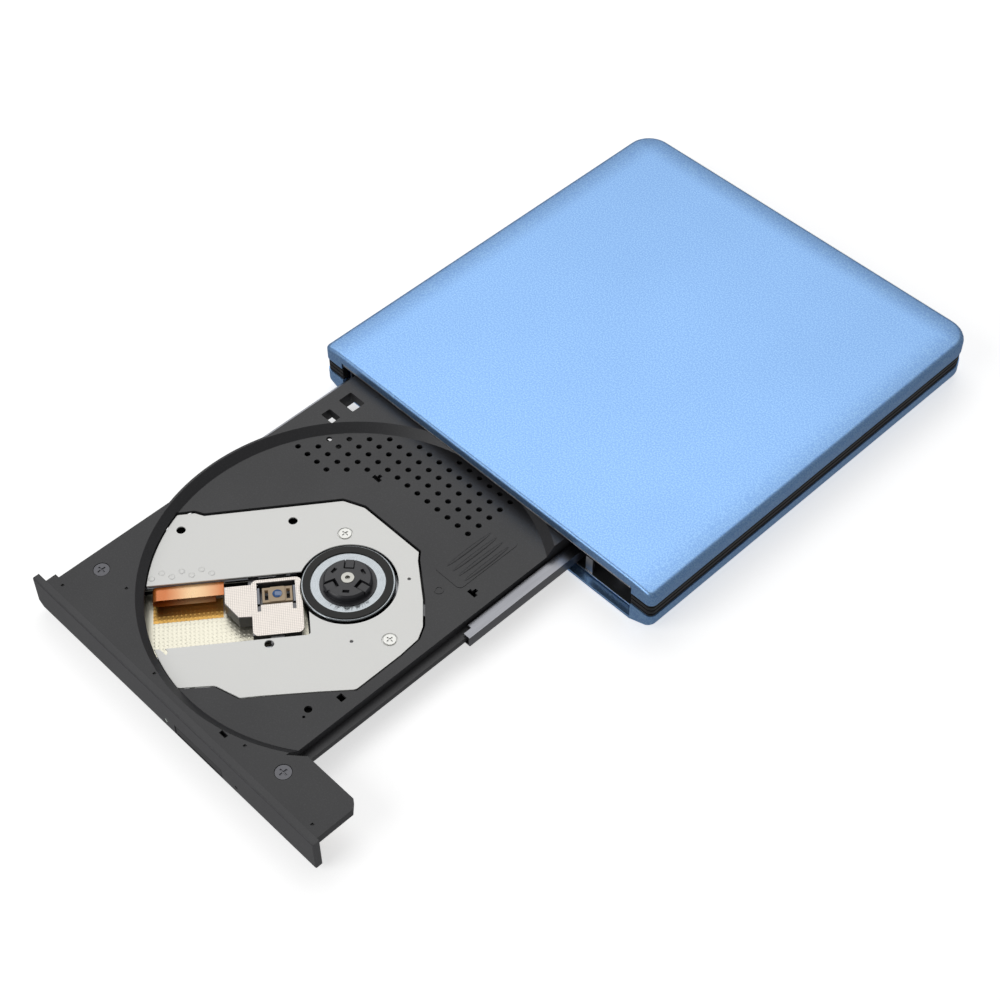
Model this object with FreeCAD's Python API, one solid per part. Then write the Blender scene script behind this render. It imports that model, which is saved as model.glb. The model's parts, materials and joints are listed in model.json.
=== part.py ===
"""External optical drive with its tray open.

Working frame (mm): X runs along the bezel from its left end, Y runs from the bezel's
front face into the drive, Z is up, with zero at the tray's top face.  Each node is moved
to the object's own frame when it is written: centre of the base, bottom of the feet.
Inside the mechanism, u runs outward from the spindle along the pickup's path and v
runs across it.
"""
import FreeCAD, Part
import math
import os
from FreeCAD import Vector

# ---- disc, tray and bezel ----
disc_radius = 60.0
disc_gap = 3.2              # disc edge to the well's top edge
well_slope = 2.7            # how far the well's wall leans in
well_depth = 2.46
floor_thickness = 0.94
tray_wall = 1.2
tray_depth = 9.9            # tray top to the lower edge of its skirt
spindle_left = 6.1          # disc edge to the bezel's left end
spindle_front = 7.4         # disc edge to the bezel's front face
bezel_margin = 8.0          # bezel width beyond the disc
bezel_height = 12.3
bezel_thickness = 2.4
bezel_round = 0.5
tray_left = 5.3
rim_width = 0.7             # rim left beside the well where it bulges on the left
tray_right_reach = 34.9     # tray's right edge from the spindle
wing_depth = 17.7
wing_thickness = 3.0
wing_chamfer = 2.4
rear_ledge = 3.1            # tray kept inside the mouth when it is out
vent_pitch = 4.557
vent_radius = 0.95
pad_height = 0.15           # raised pad and marks on the tray

# ---- rails ----
rail_wall = 0.5
rail_height = 4.0
rail_top = -4.4
rail_width = 4.0
rail_length = 112.0
rail_front = 80.0
rail_gap = 0.3
rib_height = 2.0
rib_reach = 2.6
guide_wall = 0.5

# ---- drive chassis ----
sheet = 0.5
chassis_bottom = -11.8
cover_gap = 0.45            # tray top to the cover
chassis_front_gap = 0.3     # bezel's back to the chassis when shut
chassis_rear_gap = 2.7      # tray's rear edge to the chassis rear when shut

# ---- case ----
side_margin = 9.35          # case beyond the bezel on each side
rear_bay = 26.5             # chassis rear to the case's rear face
case_wall = 1.5
case_floor = 1.05
crown_top = 4.9             # highest point above the tray's top
crown_edge = 3.9            # height the crown falls to at the sides
crown_band = 11.0
crown_round = 1.1           # round along the front lip
side_round = 2.0            # round along the sides and the rear
seam_top = -1.1
seam_bottom = -6.3
case_bottom = -13.5
hull_rise = 3.6             # height of the sloped lower edge
hull_band = 8.5             # its width
corner_front = 2.4
corner_rear = 9.0
mouth_top = 1.6
mouth_bottom = -12.45
mouth_gap = 0.9             # bezel's end to the mouth's side
frame_inset = 0.3
frame_wall = 2.2
groove = 0.45
foot_radius = 4.5
foot_height = 1.0
foot_proud = 0.6
boss_radius = 3.0
boss_foot = -9.5            # lower end of the frame's screw bosses
screw_radius = 1.0
screw_head = 2.2
socket_half_width = 4.9     # half of the socket's opening
socket_half_height = 2.0
board_top = -9.1
board_thickness = 0.8
socket_rise = 1.64          # socket's middle above its board

# ---- mechanism ----
slot_angle = 52.5           # pickup path from the X axis, degrees
plate_top = -2.9
plate_thickness = 0.5
plate_gap = 0.7
slot_low = -6.4
slot_high = 17.5
rotor_radius = 14.25
rotor_gap = 0.9
ring_outer = 13.7
ring_inner = 11.35
seat = -2.0                 # where the disc lies
ring_thickness = 0.4
hub_radius = 7.45
hub_top = 0.0
bush_radius = 2.05
shaft_radius = 1.0
running = 0.05              # radial clearance of running fits
claw_width = 2.6
rod_radius = 1.0
rod_level = -6.2
rod_main_v = -8.2
rod_sub_v = 19.0
screw_v = -12.0
lead_radius = 0.9
frame_bottom = -8.4
lens_u = 21.4
lens_radius = 1.45
lens_margin = 2.0           # disc edge to the lens at its outer stop
lens_v = 0.2
pickup_top = -4.0
pickup_bottom = -8.2
side_top = -3.85            # top of the pickup's deeper side body
foil = 0.25                 # thickness of the pickup's cover
flex_thickness = 0.14
bottom_sheet = -9.1         # upper face of the tray's bottom cover
plate_corner = 2.6          # round of the mechanism plate's corners
grommets_at = [(-8.0, 28.0), (27.5, 12.0), (-44.0, 3.0), (19.5, -42.0)]    # from the spindle
grommet_radius = 2.6
ear_low, ear_high = -7.2, -4.3
hub_flange = 8.7            # radius of the hub's thin foot in the rotor's dish
plate_corners_at = [(-25.4, 20.4), (-18.6, 23.3), (30.4, -23.9), (0.9, -52.0), (13.0, -44.7)]

# ---- button ----
button_x = 66.8
button_width = 20.8
button_low = -11.3
button_high = -7.8
button_gap = 0.25
light_x = 62.5
light_z = -9.4
light_radius = 0.8
release_x = 94.2            # pin hole that frees the tray by hand
release_radius = 0.6
wing_screws_at = [(11.9, 16.8), (104.7, 9.5)]

# ---- latch and plunger ----
latch_reach = 17.5          # pivot beyond the tray's right edge
latch_y = 5.6
latch_angle = 15.0
latch_leg = 7.6
post_radius = 0.9
eject_x = 14.0
eject_level = -8.6
eject_bore = 1.5

# ---- worked out ----
spindle = Vector(disc_radius + spindle_left, disc_radius + spindle_front, 0)
bezel_width = 2 * disc_radius + bezel_margin
tray_length = spindle.y + disc_radius - 0.2
tray_right = spindle.x + tray_right_reach
travel = tray_length - rear_ledge
mouth_y = travel
well_top_radius = disc_radius + disc_gap
well_floor_radius = well_top_radius - well_slope
floor_bottom = -well_depth - floor_thickness
chassis_front = travel + bezel_thickness + chassis_front_gap
chassis_rear = travel + tray_length + chassis_rear_gap
cover_bottom = cover_gap
case_left = -side_margin
case_right = bezel_width + side_margin
case_rear = chassis_rear + rear_bay
ground = case_bottom - foot_proud
pickup_travel = disc_radius - lens_margin - lens_u
plate_bottom = plate_top - plate_thickness
socket_x = bezel_width / 2
screws_at = [(19.0, case_rear - 9), (bezel_width - 12.0, case_rear - 9)]
brackets_at = [mouth_y + 12, chassis_rear - 12]
latch_x = tray_right + latch_reach
plate_screws_at = [(spindle.x - 15.2, spindle.y + 12.2), (spindle.x + 24.1, spindle.y - 5.1)]
rod_main_end = 30.0 + pickup_travel + 1.6
rod_sub_end = 24.0 + pickup_travel + 0.8


# ---- helpers ----
def box(x0, x1, y0, y1, z0, z1):
    return Part.makeBox(x1 - x0, y1 - y0, z1 - z0, Vector(x0, y0, z0))


def rod(x, y, z0, z1, radius):
    return Part.makeCylinder(radius, z1 - z0, Vector(x, y, z0))


def pipe(x, y, z0, z1, outer, inner):
    return rod(x, y, z0, z1, outer).cut(rod(x, y, z0 - 1, z1 + 1, inner))


def prism(points, z0, z1):
    corners = [Vector(x, y, z0) for x, y in points]
    face = Part.Face(Part.makePolygon(corners + corners[:1]))
    return face.extrude(Vector(0, 0, z1 - z0))


def join(shapes):
    shapes = list(shapes)
    whole = shapes[0]
    if len(shapes) > 1:
        whole = whole.fuse(shapes[1:])
    return whole.removeSplitter()


def upright(shape, test=lambda edge: True):
    """The shape's upright edges that pass the test."""
    found = []
    for edge in shape.Edges:
        a, b = edge.Vertexes[0].Point, edge.Vertexes[-1].Point
        if abs(a.z - b.z) > 0.05 and math.hypot(a.x - b.x, a.y - b.y) < 1e-6 and test(edge):
            found.append(edge)
    return found


def slab(x0, x1, y0, y1, z0, z1, radius):
    """A box with rounded upright corners."""
    block = box(x0, x1, y0, y1, z0, z1)
    return block.makeFillet(radius, upright(block))


def in_mechanism(shape):
    """Turn a shape drawn in u, v about the spindle into the working frame."""
    turned = shape.copy()
    turned.rotate(Vector(0, 0, 0), Vector(0, 0, 1), 180 + slot_angle)
    turned.translate(spindle)
    return turned


def rod_along(u0, u1, v, z, radius):
    return Part.makeCylinder(radius, u1 - u0, Vector(u0, v, z), Vector(1, 0, 0))


def group(shapes):
    return Part.makeCompound(list(shapes))


# ---- case ----
def case_plan(inset, z0, z1):
    """Rounded plan of the case, pulled in by inset."""
    block = box(case_left + inset, case_right - inset, mouth_y + inset, case_rear - inset, z0, z1)
    middle = (mouth_y + case_rear) / 2
    front = upright(block, lambda edge: edge.Vertexes[0].Y < middle)
    block = block.makeFillet(max(corner_front - inset, 0.5), front)
    rear = upright(block, lambda edge: edge.Vertexes[0].Y > middle and edge.Length > (z1 - z0) * 0.9)
    rear = [edge for edge in rear if abs(edge.Vertexes[0].Y - (case_rear - inset)) < 0.01]
    return block.makeFillet(max(corner_rear - inset, 0.5), rear)


def crown_height(inset):
    """Height of the crowned top that far in from a side."""
    share = max(0.0, 1 - inset / crown_band)
    return crown_top - (crown_top - crown_edge) * share ** 2


def crown_end(side, inward):
    """Outline of one end: upright side, round shoulder, and the fall of the crown."""
    def point(inset, height):
        return Vector(side + inward * inset, 0, height)

    shoulder = crown_height(side_round)
    lean = side_round * (1 - math.sqrt(0.5))
    middle = (side_round + crown_band) / 2
    return [Part.makeLine(point(0, seam_top), point(0, shoulder - side_round)),
            Part.Arc(point(0, shoulder - side_round), point(lean, shoulder - lean),
                     point(side_round, shoulder)).toShape(),
            Part.Arc(point(side_round, shoulder), point(middle, crown_height(middle)),
                     point(crown_band, crown_top)).toShape()]


def lip_end(start):
    """Outline of the front end: upright face and a small round."""
    lean = crown_round * (1 - math.sqrt(0.5))
    low = Vector(start, 0, crown_top - crown_round)
    high = Vector(start + crown_round, 0, crown_top)
    return [Part.makeLine(Vector(start, 0, seam_top), low),
            Part.Arc(low, Vector(start + lean, 0, crown_top - lean), high).toShape()]


def crown_profile(start, end, both):
    """Closed outline of the top that falls near its end, and at its start falls too or has a lip."""
    edges = crown_end(end, -1)
    if both:
        edges += crown_end(start, 1)
        flat_from = start + crown_band
    else:
        edges += lip_end(start)
        flat_from = start + crown_round
    edges.append(Part.makeLine(Vector(flat_from, 0, crown_top), Vector(end - crown_band, 0, crown_top)))
    edges.append(Part.makeLine(Vector(end, 0, seam_top), Vector(start, 0, seam_top)))
    return Part.Face(Part.Wire(Part.__sortEdges__(edges)))


def mouth(z0, z1):
    reach = bezel_width + mouth_gap
    return box(-mouth_gap, reach, mouth_y - 1, mouth_y + case_wall + frame_wall + 3, z0, z1)


def top_shell():
    body = case_plan(0, seam_top, crown_top + 1)
    across = crown_profile(case_left, case_right, True)
    across.translate(Vector(0, mouth_y - 1, 0))
    body = body.common(across.extrude(Vector(0, case_rear - mouth_y + 2, 0)))
    along = crown_profile(mouth_y, case_rear, False)
    along.rotate(Vector(0, 0, 0), Vector(0, 0, 1), 90)
    along.translate(Vector(case_right + 1, 0, 0))
    body = body.common(along.extrude(Vector(case_left - case_right - 2, 0, 0)))
    hollow = case_plan(case_wall, seam_top - 1, crown_edge - case_wall)
    raised = case_plan(crown_band, seam_top - 1, crown_top - case_wall)
    return body.cut(hollow).cut(raised).cut(mouth(seam_top - 1, mouth_top))


def hull_profile(start, end, both, level, rise, band):
    """Closed outline whose underside slopes up near its ends."""
    low_start = start + band if both else start
    points = [(low_start, level), (end - band, level), (end, level + rise), (end, seam_bottom + 3),
              (start, seam_bottom + 3)]
    if both:
        points.append((start, level + rise))
    corners = [Vector(x, 0, z) for x, z in points]
    return Part.Face(Part.makePolygon(corners + corners[:1]))


def hull(inset, level, top):
    """Lower half of the case, pulled in by inset, from level up to top."""
    body = case_plan(inset, level, top)
    left, right, rear = case_left + inset, case_right - inset, case_rear - inset
    band, rise = hull_band - inset * 0.2, hull_rise - inset * 0.6
    across = hull_profile(left, right, True, level, rise, band)
    across.translate(Vector(0, mouth_y - 1, 0))
    body = body.common(across.extrude(Vector(0, case_rear - mouth_y + 2, 0)))
    along = hull_profile(mouth_y + inset, rear, False, level, rise, band)
    along.rotate(Vector(0, 0, 0), Vector(0, 0, 1), 90)
    along.translate(Vector(case_right + 1, 0, 0))
    return body.common(along.extrude(Vector(case_left - case_right - 2, 0, 0)))


def bottom_shell():
    inner_floor = case_bottom + case_floor
    body = hull(0, case_bottom, seam_bottom).cut(hull(case_wall, inner_floor, seam_bottom + 1))
    for x, y in screws_at:
        body = body.fuse(rod(x, y, case_bottom + 0.6, boss_foot - 0.1, boss_radius))
    body = body.cut(mouth(mouth_bottom, seam_bottom + 1))
    for x, y in screws_at:
        body = body.cut(rod(x, y, case_bottom - 1, case_bottom + 0.8, screw_head + 0.2))
        body = body.cut(rod(x, y, case_bottom - 1, seam_bottom, screw_radius + 0.15))
    for x, y in feet_at():
        seat_top = case_bottom + foot_height - foot_proud
        body = body.cut(rod(x, y, case_bottom - 1, seat_top, foot_radius + 0.1))
    return body.cut(socket_opening()).removeSplitter()


def socket_opening():
    """Rounded opening through the rear wall, half in the shell and half in the frame."""
    opening = slab(socket_x - socket_half_width, socket_x + socket_half_width,
                   -socket_half_height, socket_half_height, 0, 10, socket_half_height - 0.4)
    opening.rotate(Vector(socket_x, 0, 0), Vector(1, 0, 0), -90)
    opening.translate(Vector(0, case_rear - 5, board_top + socket_rise))
    return opening


def mid_frame():
    outer = case_plan(frame_inset, seam_bottom, seam_top)
    ring = outer.cut(case_plan(frame_inset + frame_wall, seam_bottom - 1, seam_top + 1))
    pitch = (seam_top - seam_bottom) / 3
    for index in range(3):
        level = seam_bottom + pitch * (index + 0.5)
        band = case_plan(-1, level - groove / 2, level + groove / 2)
        ring = ring.cut(band.cut(case_plan(frame_inset + groove, level - 1, level + 1)))
    ring = ring.cut(mouth(seam_bottom - 1, seam_top + 1))
    parts = [ring]
    for x, y in screws_at:
        parts.append(box(x - 2.5, x + 2.5, y, case_rear - case_wall, seam_bottom, seam_top))
        parts.append(rod(x, y, boss_foot, seam_top, boss_radius))
    for y in brackets_at:
        for side_x, inner in ((case_left + 1.9, -0.6), (bezel_width + 0.6, case_right - 1.9)):
            parts.append(box(side_x, inner, y, y + 6, seam_bottom, seam_top))
    frame = join(parts)
    for x, y in screws_at:
        frame = frame.cut(rod(x, y, case_bottom, seam_bottom + 3.9, screw_radius))
    return frame.cut(socket_opening())


def feet_at():
    inset = hull_band + foot_radius + 1.5
    fore, aft = mouth_y + foot_radius + 7, case_rear - inset - 4
    return [(x, y) for x in (case_left + inset, case_right - inset) for y in (fore, aft)]


def rubber_feet():
    feet = []
    for x, y in feet_at():
        foot = rod(x, y, ground, ground + foot_height, foot_radius)
        low = [edge for edge in foot.Edges if edge.BoundBox.ZMax < ground + 0.01]
        feet.append(foot.makeFillet(0.3, low))
    return group(feet)


def cross_screw(x, y, top, length, radius, head, head_height):
    """Cross-head screw pointing down, its head's top face at the given level."""
    body = rod(x, y, top - head_height, top, head).fuse(rod(x, y, top - length, top, radius))
    arm = head * 0.55
    for a, b in ((arm, 0.22), (0.22, arm)):
        body = body.cut(box(x - a, x + a, y - b, y + b, top - 0.3, top + 1))
    return body.removeSplitter()


def case_screws():
    screws = []
    for x, y in screws_at:
        screw = cross_screw(x, y, 0, 6.2, screw_radius - 0.02, screw_head, 0.5)
        screw.rotate(Vector(x, y, 0), Vector(1, 0, 0), 180)
        screw.translate(Vector(0, 0, case_bottom + 0.25))
        screws.append(screw)
    return group(screws)


# ---- bridge electronics ----
def bridge_board():
    return box(socket_x - 40, socket_x + 44, chassis_rear + 4, case_rear - case_wall - 1.5,
               board_top - board_thickness, board_top)


def bridge_chip():
    x, y = socket_x + 16, (chassis_rear + case_rear) / 2 - 3.6
    chips = [slab(x, x + 9, y, y + 9, board_top, board_top + 1.0, 0.4)]
    chips.append(box(x + 14, x + 19, y + 1, y + 5, board_top, board_top + 0.8))
    chips.append(box(x - 34, x - 30, y + 2, y + 7, board_top, board_top + 1.4))
    return group(chips)


def usb_socket():
    length = 7.6
    shell = slab(socket_x - 4.47, socket_x + 4.47, -1.62, 1.62, 0, length, 1.5)
    hole = slab(socket_x - 4.17, socket_x + 4.17, -1.32, 1.32, 1.2, length + 1, 1.25)
    tongue = box(socket_x - 3.3, socket_x + 3.3, -0.35, 0.35, 1.0, length - 0.8)
    body = shell.cut(hole).fuse(tongue)
    body.rotate(Vector(socket_x, 0, 0), Vector(1, 0, 0), -90)
    body.translate(Vector(0, case_rear - length - 0.3, board_top + socket_rise))
    return body.removeSplitter()


def bridge_connector():
    block = box(socket_x - 17, socket_x + 17, chassis_rear + 3.3, chassis_rear + 9, board_top, -5.2)
    slot = box(socket_x - 14.5, socket_x + 14.5, chassis_rear + 3, chassis_rear + 7, -7.6, -6.5)
    return block.cut(slot)


# ---- drive chassis ----
def drive_chassis():
    left, right = 0.0, bezel_width
    top = cover_bottom
    outer = box(left, right, chassis_front, chassis_rear, chassis_bottom, top)
    inner = box(left + sheet, right - sheet, chassis_front - 1, chassis_rear - sheet,
                chassis_bottom + sheet, top + 1)
    body = outer.cut(inner)
    for x in (left + 30, left + 58):
        rib = slab(x, x + 4, chassis_front + 30, chassis_rear - 30, chassis_bottom - 1,
                   chassis_bottom + 0.25, 1.9)
        body = body.cut(rib)
    tab_x = tray_right + 6.6
    body = body.fuse(box(tab_x, tab_x + 2.8, chassis_front + 0.4, chassis_front + 0.9,
                         chassis_bottom, rail_top - 0.6))
    body = body.cut(box(socket_x - 16, socket_x + 16, chassis_rear - 1, chassis_rear + 1, -9.4, -5.0))
    body = body.cut(along_y(eject_x, eject_level, chassis_rear - 1, chassis_rear + 1, eject_bore + 0.75))
    return body.removeSplitter()


def drive_cover():
    low, high = cover_bottom, cover_bottom + sheet
    front = mouth_y + 0.3
    top = box(-0.5, bezel_width + 0.5, front, chassis_rear + 0.4, low, high)
    sides = [box(-0.5, -0.1, chassis_front, chassis_rear, -3.4, high),
             box(bezel_width + 0.1, bezel_width + 0.5, chassis_front, chassis_rear, -3.4, high)]
    body = join([top] + sides)
    ring = pipe(spindle.x, spindle.y + travel, high - 0.2, high + 1, 24, 22.5)
    return body.cut(ring)


def drive_screws():
    at = [(4, chassis_rear - 6), (bezel_width - 4, chassis_rear - 6),
          (bezel_width - 4, chassis_front + 30)]
    return group(cross_screw(x, y, cover_bottom + sheet + 0.35, 0.34, 0.5, 1.7, 0.34) for x, y in at)


def channel(x_web, x_open, z0, z1, wall, y0, y1):
    """U section lying on its side: a web at x_web and two flanges reaching x_open."""
    web = box(min(x_web, x_web + wall), max(x_web, x_web + wall), y0, y1, z0, z1)
    lo, hi = min(x_web, x_open), max(x_web, x_open)
    lower = box(lo, hi, y0, y1, z0, z0 + abs(wall))
    upper = box(lo, hi, y0, y1, z1 - abs(wall), z1)
    return join([web, lower, upper])


def rail(side):
    """Steel rail; side is -1 on the left and 1 on the right."""
    if side < 0:
        outer, inner = tray_left - 3.9, tray_left - 0.3
    else:
        outer, inner = tray_right + rail_width + 0.6, tray_right + 0.5
    body = channel(outer, inner, rail_top - rail_height, rail_top, -side * rail_wall,
                   rail_front, rail_front + rail_length)
    notch_x = inner + side * 1.5
    notch = box(min(inner - side, notch_x), max(inner - side, notch_x), rail_front - 1,
                rail_front + 3.0, rail_top - 1, rail_top + 1)
    return body.cut(notch)


def guide(side):
    """Plastic channel fixed in the chassis that holds a rail."""
    z0 = rail_top - rail_height - rail_gap - guide_wall
    z1 = rail_top + rail_gap + guide_wall
    if side < 0:
        outer, inner, y0 = sheet + 0.05, tray_left - 1.4, chassis_front + 4.0
        foot = box(outer, inner, y0, chassis_rear - 12, chassis_bottom + sheet, z0 + 0.1)
    else:
        outer = tray_right + rail_width + 0.6 + rail_gap + guide_wall
        inner, y0 = tray_right + 1.6, chassis_front + wing_depth
        foot = box(inner + 1, outer, y0, chassis_rear - 12, chassis_bottom + sheet, z0 + 0.1)
    body = channel(outer, inner, z0, z1, -side * guide_wall, y0, chassis_rear - 12)
    return join([body, foot])


def main_board():
    x0 = tray_right + rail_width + 2.4
    board = box(x0, bezel_width - sheet - 0.4, chassis_front + wing_depth + 3, chassis_rear - 3,
                chassis_bottom + sheet + 0.8, chassis_bottom + sheet + 1.6)
    standoffs = [rod(bezel_width - 4, y, chassis_bottom + sheet, chassis_bottom + sheet + 0.9, 1.6)
                 for y in (chassis_front + wing_depth + 10, chassis_rear - 14)]
    return join([board] + standoffs)


def board_chips():
    x0 = tray_right + rail_width + 4.5
    y0 = chassis_front + wing_depth + 14
    z = chassis_bottom + sheet + 1.6
    chips = []
    sizes = ((14, 14, 1.2), (8, 11, 1.0), (11, 7, 1.6), (9, 9, 1.0))
    for index, (width, depth, height) in enumerate(sizes):
        y = y0 + index * 20
        chips.append(box(x0, x0 + width, y, y + depth, z, z + height))
    return group(chips)


def drive_connector():
    block = box(socket_x - 15, socket_x + 15, chassis_rear - 2.2, chassis_rear + 1, -9.2, -5.2)
    tongue = box(socket_x - 14, socket_x + 14, chassis_rear + 1, chassis_rear + 6, -7.4, -6.7)
    stand = box(socket_x - 10, socket_x + 10, chassis_rear - 2.0, chassis_rear - sheet - 0.1,
                chassis_bottom + sheet, -9.2)
    return join([block, tongue, stand])


def latch_post():
    return rod(latch_x - 1.9, travel + latch_y + 4.8, chassis_bottom + sheet, -5.6, post_radius)


def along_y(x, z, y0, y1, radius):
    return Part.makeCylinder(radius, y1 - y0, Vector(x, y0, z), Vector(0, 1, 0))


def eject_housing():
    """Closed barrel that sits in the chassis rear wall."""
    barrel = along_y(eject_x, eject_level, chassis_rear - 0.3, chassis_rear + 9.6, eject_bore + 0.7)
    flange = box(eject_x - 4, eject_x + 4, chassis_rear + 0.1, chassis_rear + 1.0,
                 eject_level - 2.4, eject_level + 2.4)
    bore = along_y(eject_x, eject_level, chassis_rear - 2, chassis_rear + 8.8, eject_bore)
    return join([barrel, flange]).cut(bore)


def eject_pusher():
    """Plunger that the shut tray's rear edge holds back against its spring."""
    stem = along_y(eject_x, eject_level, chassis_rear - 2.5, chassis_rear + 7.6, 0.7)
    collar = along_y(eject_x, eject_level, chassis_rear - 1.6, chassis_rear + 0.4, eject_bore - 0.1)
    return join([stem, collar])


def eject_spring():
    coil = Part.makeHelix(0.85, 6.8, 1.1)
    wire = Part.Wire(coil.Edges)
    profile = Part.Wire(Part.makeCircle(0.18, Vector(1.1, 0, 0), Vector(0, 1, 0)))
    body = wire.makePipeShell([profile], True, False)
    body.rotate(Vector(0, 0, 0), Vector(1, 0, 0), -90)
    body.translate(Vector(eject_x, chassis_rear + 0.8, eject_level))
    return body


def folded_strip(run_start, fold_at, run_end, low, high):
    """Side outline of a flat cable folded back on itself, as a closed face in X and Z."""
    half = (high - low) / 2
    thin = flex_thickness
    lower = Part.makeBox(run_start - fold_at, 1, thin, Vector(fold_at, 0, low))
    upper = Part.makeBox(run_end - fold_at, 1, thin, Vector(fold_at, 0, high - thin))
    centre = Vector(fold_at, 0, low + half)
    outer = Part.makeCylinder(half, 1, centre, Vector(0, 1, 0))
    inner = Part.makeCylinder(half - thin, 1, centre, Vector(0, 1, 0))
    bend = outer.cut(inner).cut(Part.makeBox(half * 3, 1, half * 4, Vector(fold_at, 0, low - half)))
    return join([lower, upper, bend])


def tray_flex():
    strip = folded_strip(travel + 76, travel - 20, travel - 4,
                         chassis_bottom + sheet + 0.05, -tray_depth - 0.1)
    strip.rotate(Vector(0, 0, 0), Vector(0, 0, 1), 90)
    stretch = FreeCAD.Matrix()
    stretch.scale(14.0, 1.0, 1.0)
    strip = strip.transformGeometry(stretch)
    strip.translate(Vector(spindle.x + 20, 0, 0))
    return strip


# ---- tray ----
def wing_points():
    right = bezel_width - sheet - 0.4
    return [(tray_right, bezel_thickness), (right, bezel_thickness),
            (right, wing_depth - wing_chamfer), (right - wing_chamfer, wing_depth),
            (tray_right + 4.6, wing_depth), (tray_right, wing_depth - 4.0)]


def plate_corner_edge(edge):
    """True for the outline's corners that stand clear of its neighbours."""
    place = edge.Vertexes[0].Point - spindle
    return any(math.hypot(place.x - x, place.y - y) < 1.6 for x, y in plate_corners_at)


def plate_outline(grow=0.0):
    """The mechanism plate's outline about the spindle, with its two rounded sides."""
    reach = tray_right_reach
    points = [(-59.0, -22.6), (-53.9, -15.6), (-51.0, -14.2), (-25.4, 20.4), (-18.6, 23.3),
              (6.0, 23.3), (8.2, 20.9), (20.2, 11.8), (27.4, 5.1), (reach - 5.1, 0.9),
              (reach - 4.5, -6.7), (reach - 4.5, -23.9), (23.7, -31.7), (13.0, -44.7),
              (9.2, -49.6), (0.9, -52.0), (-5.5, -59.7), (-7.3, -61.0), (-20.2, -61.5),
              (-60.0, -61.5)]
    face = Part.Face(Part.makePolygon([Vector(x, y, 0) for x, y in points + points[:1]]))
    if grow:
        face = face.makeOffset2D(grow)
    face.translate(spindle)
    return face


def plate_holes(radius):
    """Three round holes through the plate and the frame below it."""
    return [rod(spindle.x + dx, spindle.y + dy, -9, 0, radius)
            for dx, dy in ((-51.6, -22.8), (-30.3, 4.1), (0.5, -31.3))]


def plate_shape(z0, z1, grow, radius):
    """The outline raised to a slab, its corners rounded, and kept inside the radius."""
    face = plate_outline(grow)
    face.translate(Vector(0, 0, z0))
    body = face.extrude(Vector(0, 0, z1 - z0))
    body = body.makeFillet(plate_corner - grow, upright(body, plate_corner_edge))
    return body.common(rod(spindle.x, spindle.y, z0 - 1, z1 + 1, radius))


def vent_points():
    x0, y0 = spindle.x - 52.26, spindle.y + 25.04
    found = []
    for row in range(8):
        for column in range(15):
            x, y = x0 + column * vent_pitch, y0 + row * vent_pitch
            inside = math.hypot(x - spindle.x, y - spindle.y) < well_floor_radius - 1.5
            if inside and (row >= 3 or column <= row + 3) and y < tray_length - 2.4:
                found.append((x, y))
    return found


def tray():
    rear = tray_length
    top = box(tray_left, tray_right, bezel_thickness, rear, floor_bottom, 0)
    wing = prism(wing_points(), -wing_thickness, 0)
    bulge = rod(spindle.x, spindle.y, floor_bottom, 0, well_top_radius + rim_width)
    top = top.fuse(bulge.common(box(0, tray_left + 1, 10, tray_length - 10, floor_bottom, 0)))
    notch = box(tray_left - 1.6, tray_left + 0.1, bezel_thickness, 5.9, floor_bottom, 0)
    skirt = box(tray_left, tray_right, bezel_thickness, rear, -tray_depth, floor_bottom + 0.1)
    skirt = skirt.cut(box(tray_left + tray_wall, tray_right - tray_wall, bezel_thickness + tray_wall,
                          rear - tray_wall, -tray_depth - 1, floor_bottom))
    ribs = []
    low = rail_top - rail_height / 2 - rib_height / 2
    ribs.append(box(tray_left - rib_reach, tray_left + 0.1, wing_depth + 1, rear, low, low + rib_height))
    ribs.append(box(tray_right - 0.1, tray_right + rib_reach + 0.4, wing_depth - 2, rear,
                    low, low + rib_height))
    body = join([top, wing, notch, skirt] + ribs)
    well = Part.makeCone(well_floor_radius, well_top_radius, well_depth,
                         Vector(spindle.x, spindle.y, -well_depth))
    body = body.cut(well)
    body = body.cut(plate_shape(floor_bottom - 1, 1, plate_gap, well_floor_radius + 0.4))
    holes = [rod(x, y, floor_bottom - 1, 0, vent_radius) for x, y in vent_points()]
    body = body.cut(group(holes))
    body = body.cut(group(tray_openings())).cut(group(tray_seats()))
    return join([body] + tray_marks())


def tray_marks():
    """A raised pad, a small ring and a round boss moulded on the tray."""
    floor = -well_depth
    pad = slab(spindle.x + 13.9, spindle.x + 25.4, spindle.y + 22.1, spindle.y + 47.1,
               floor - 0.1, floor + pad_height, 1.6)
    ring = pipe(spindle.x + 21.1, spindle.y + 17.5, floor - 0.1, floor + pad_height, 1.5, 1.0)
    boss = rod(16.4, 124.0, -0.1, pad_height, 1.3)
    return [pad, ring, boss]


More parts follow.
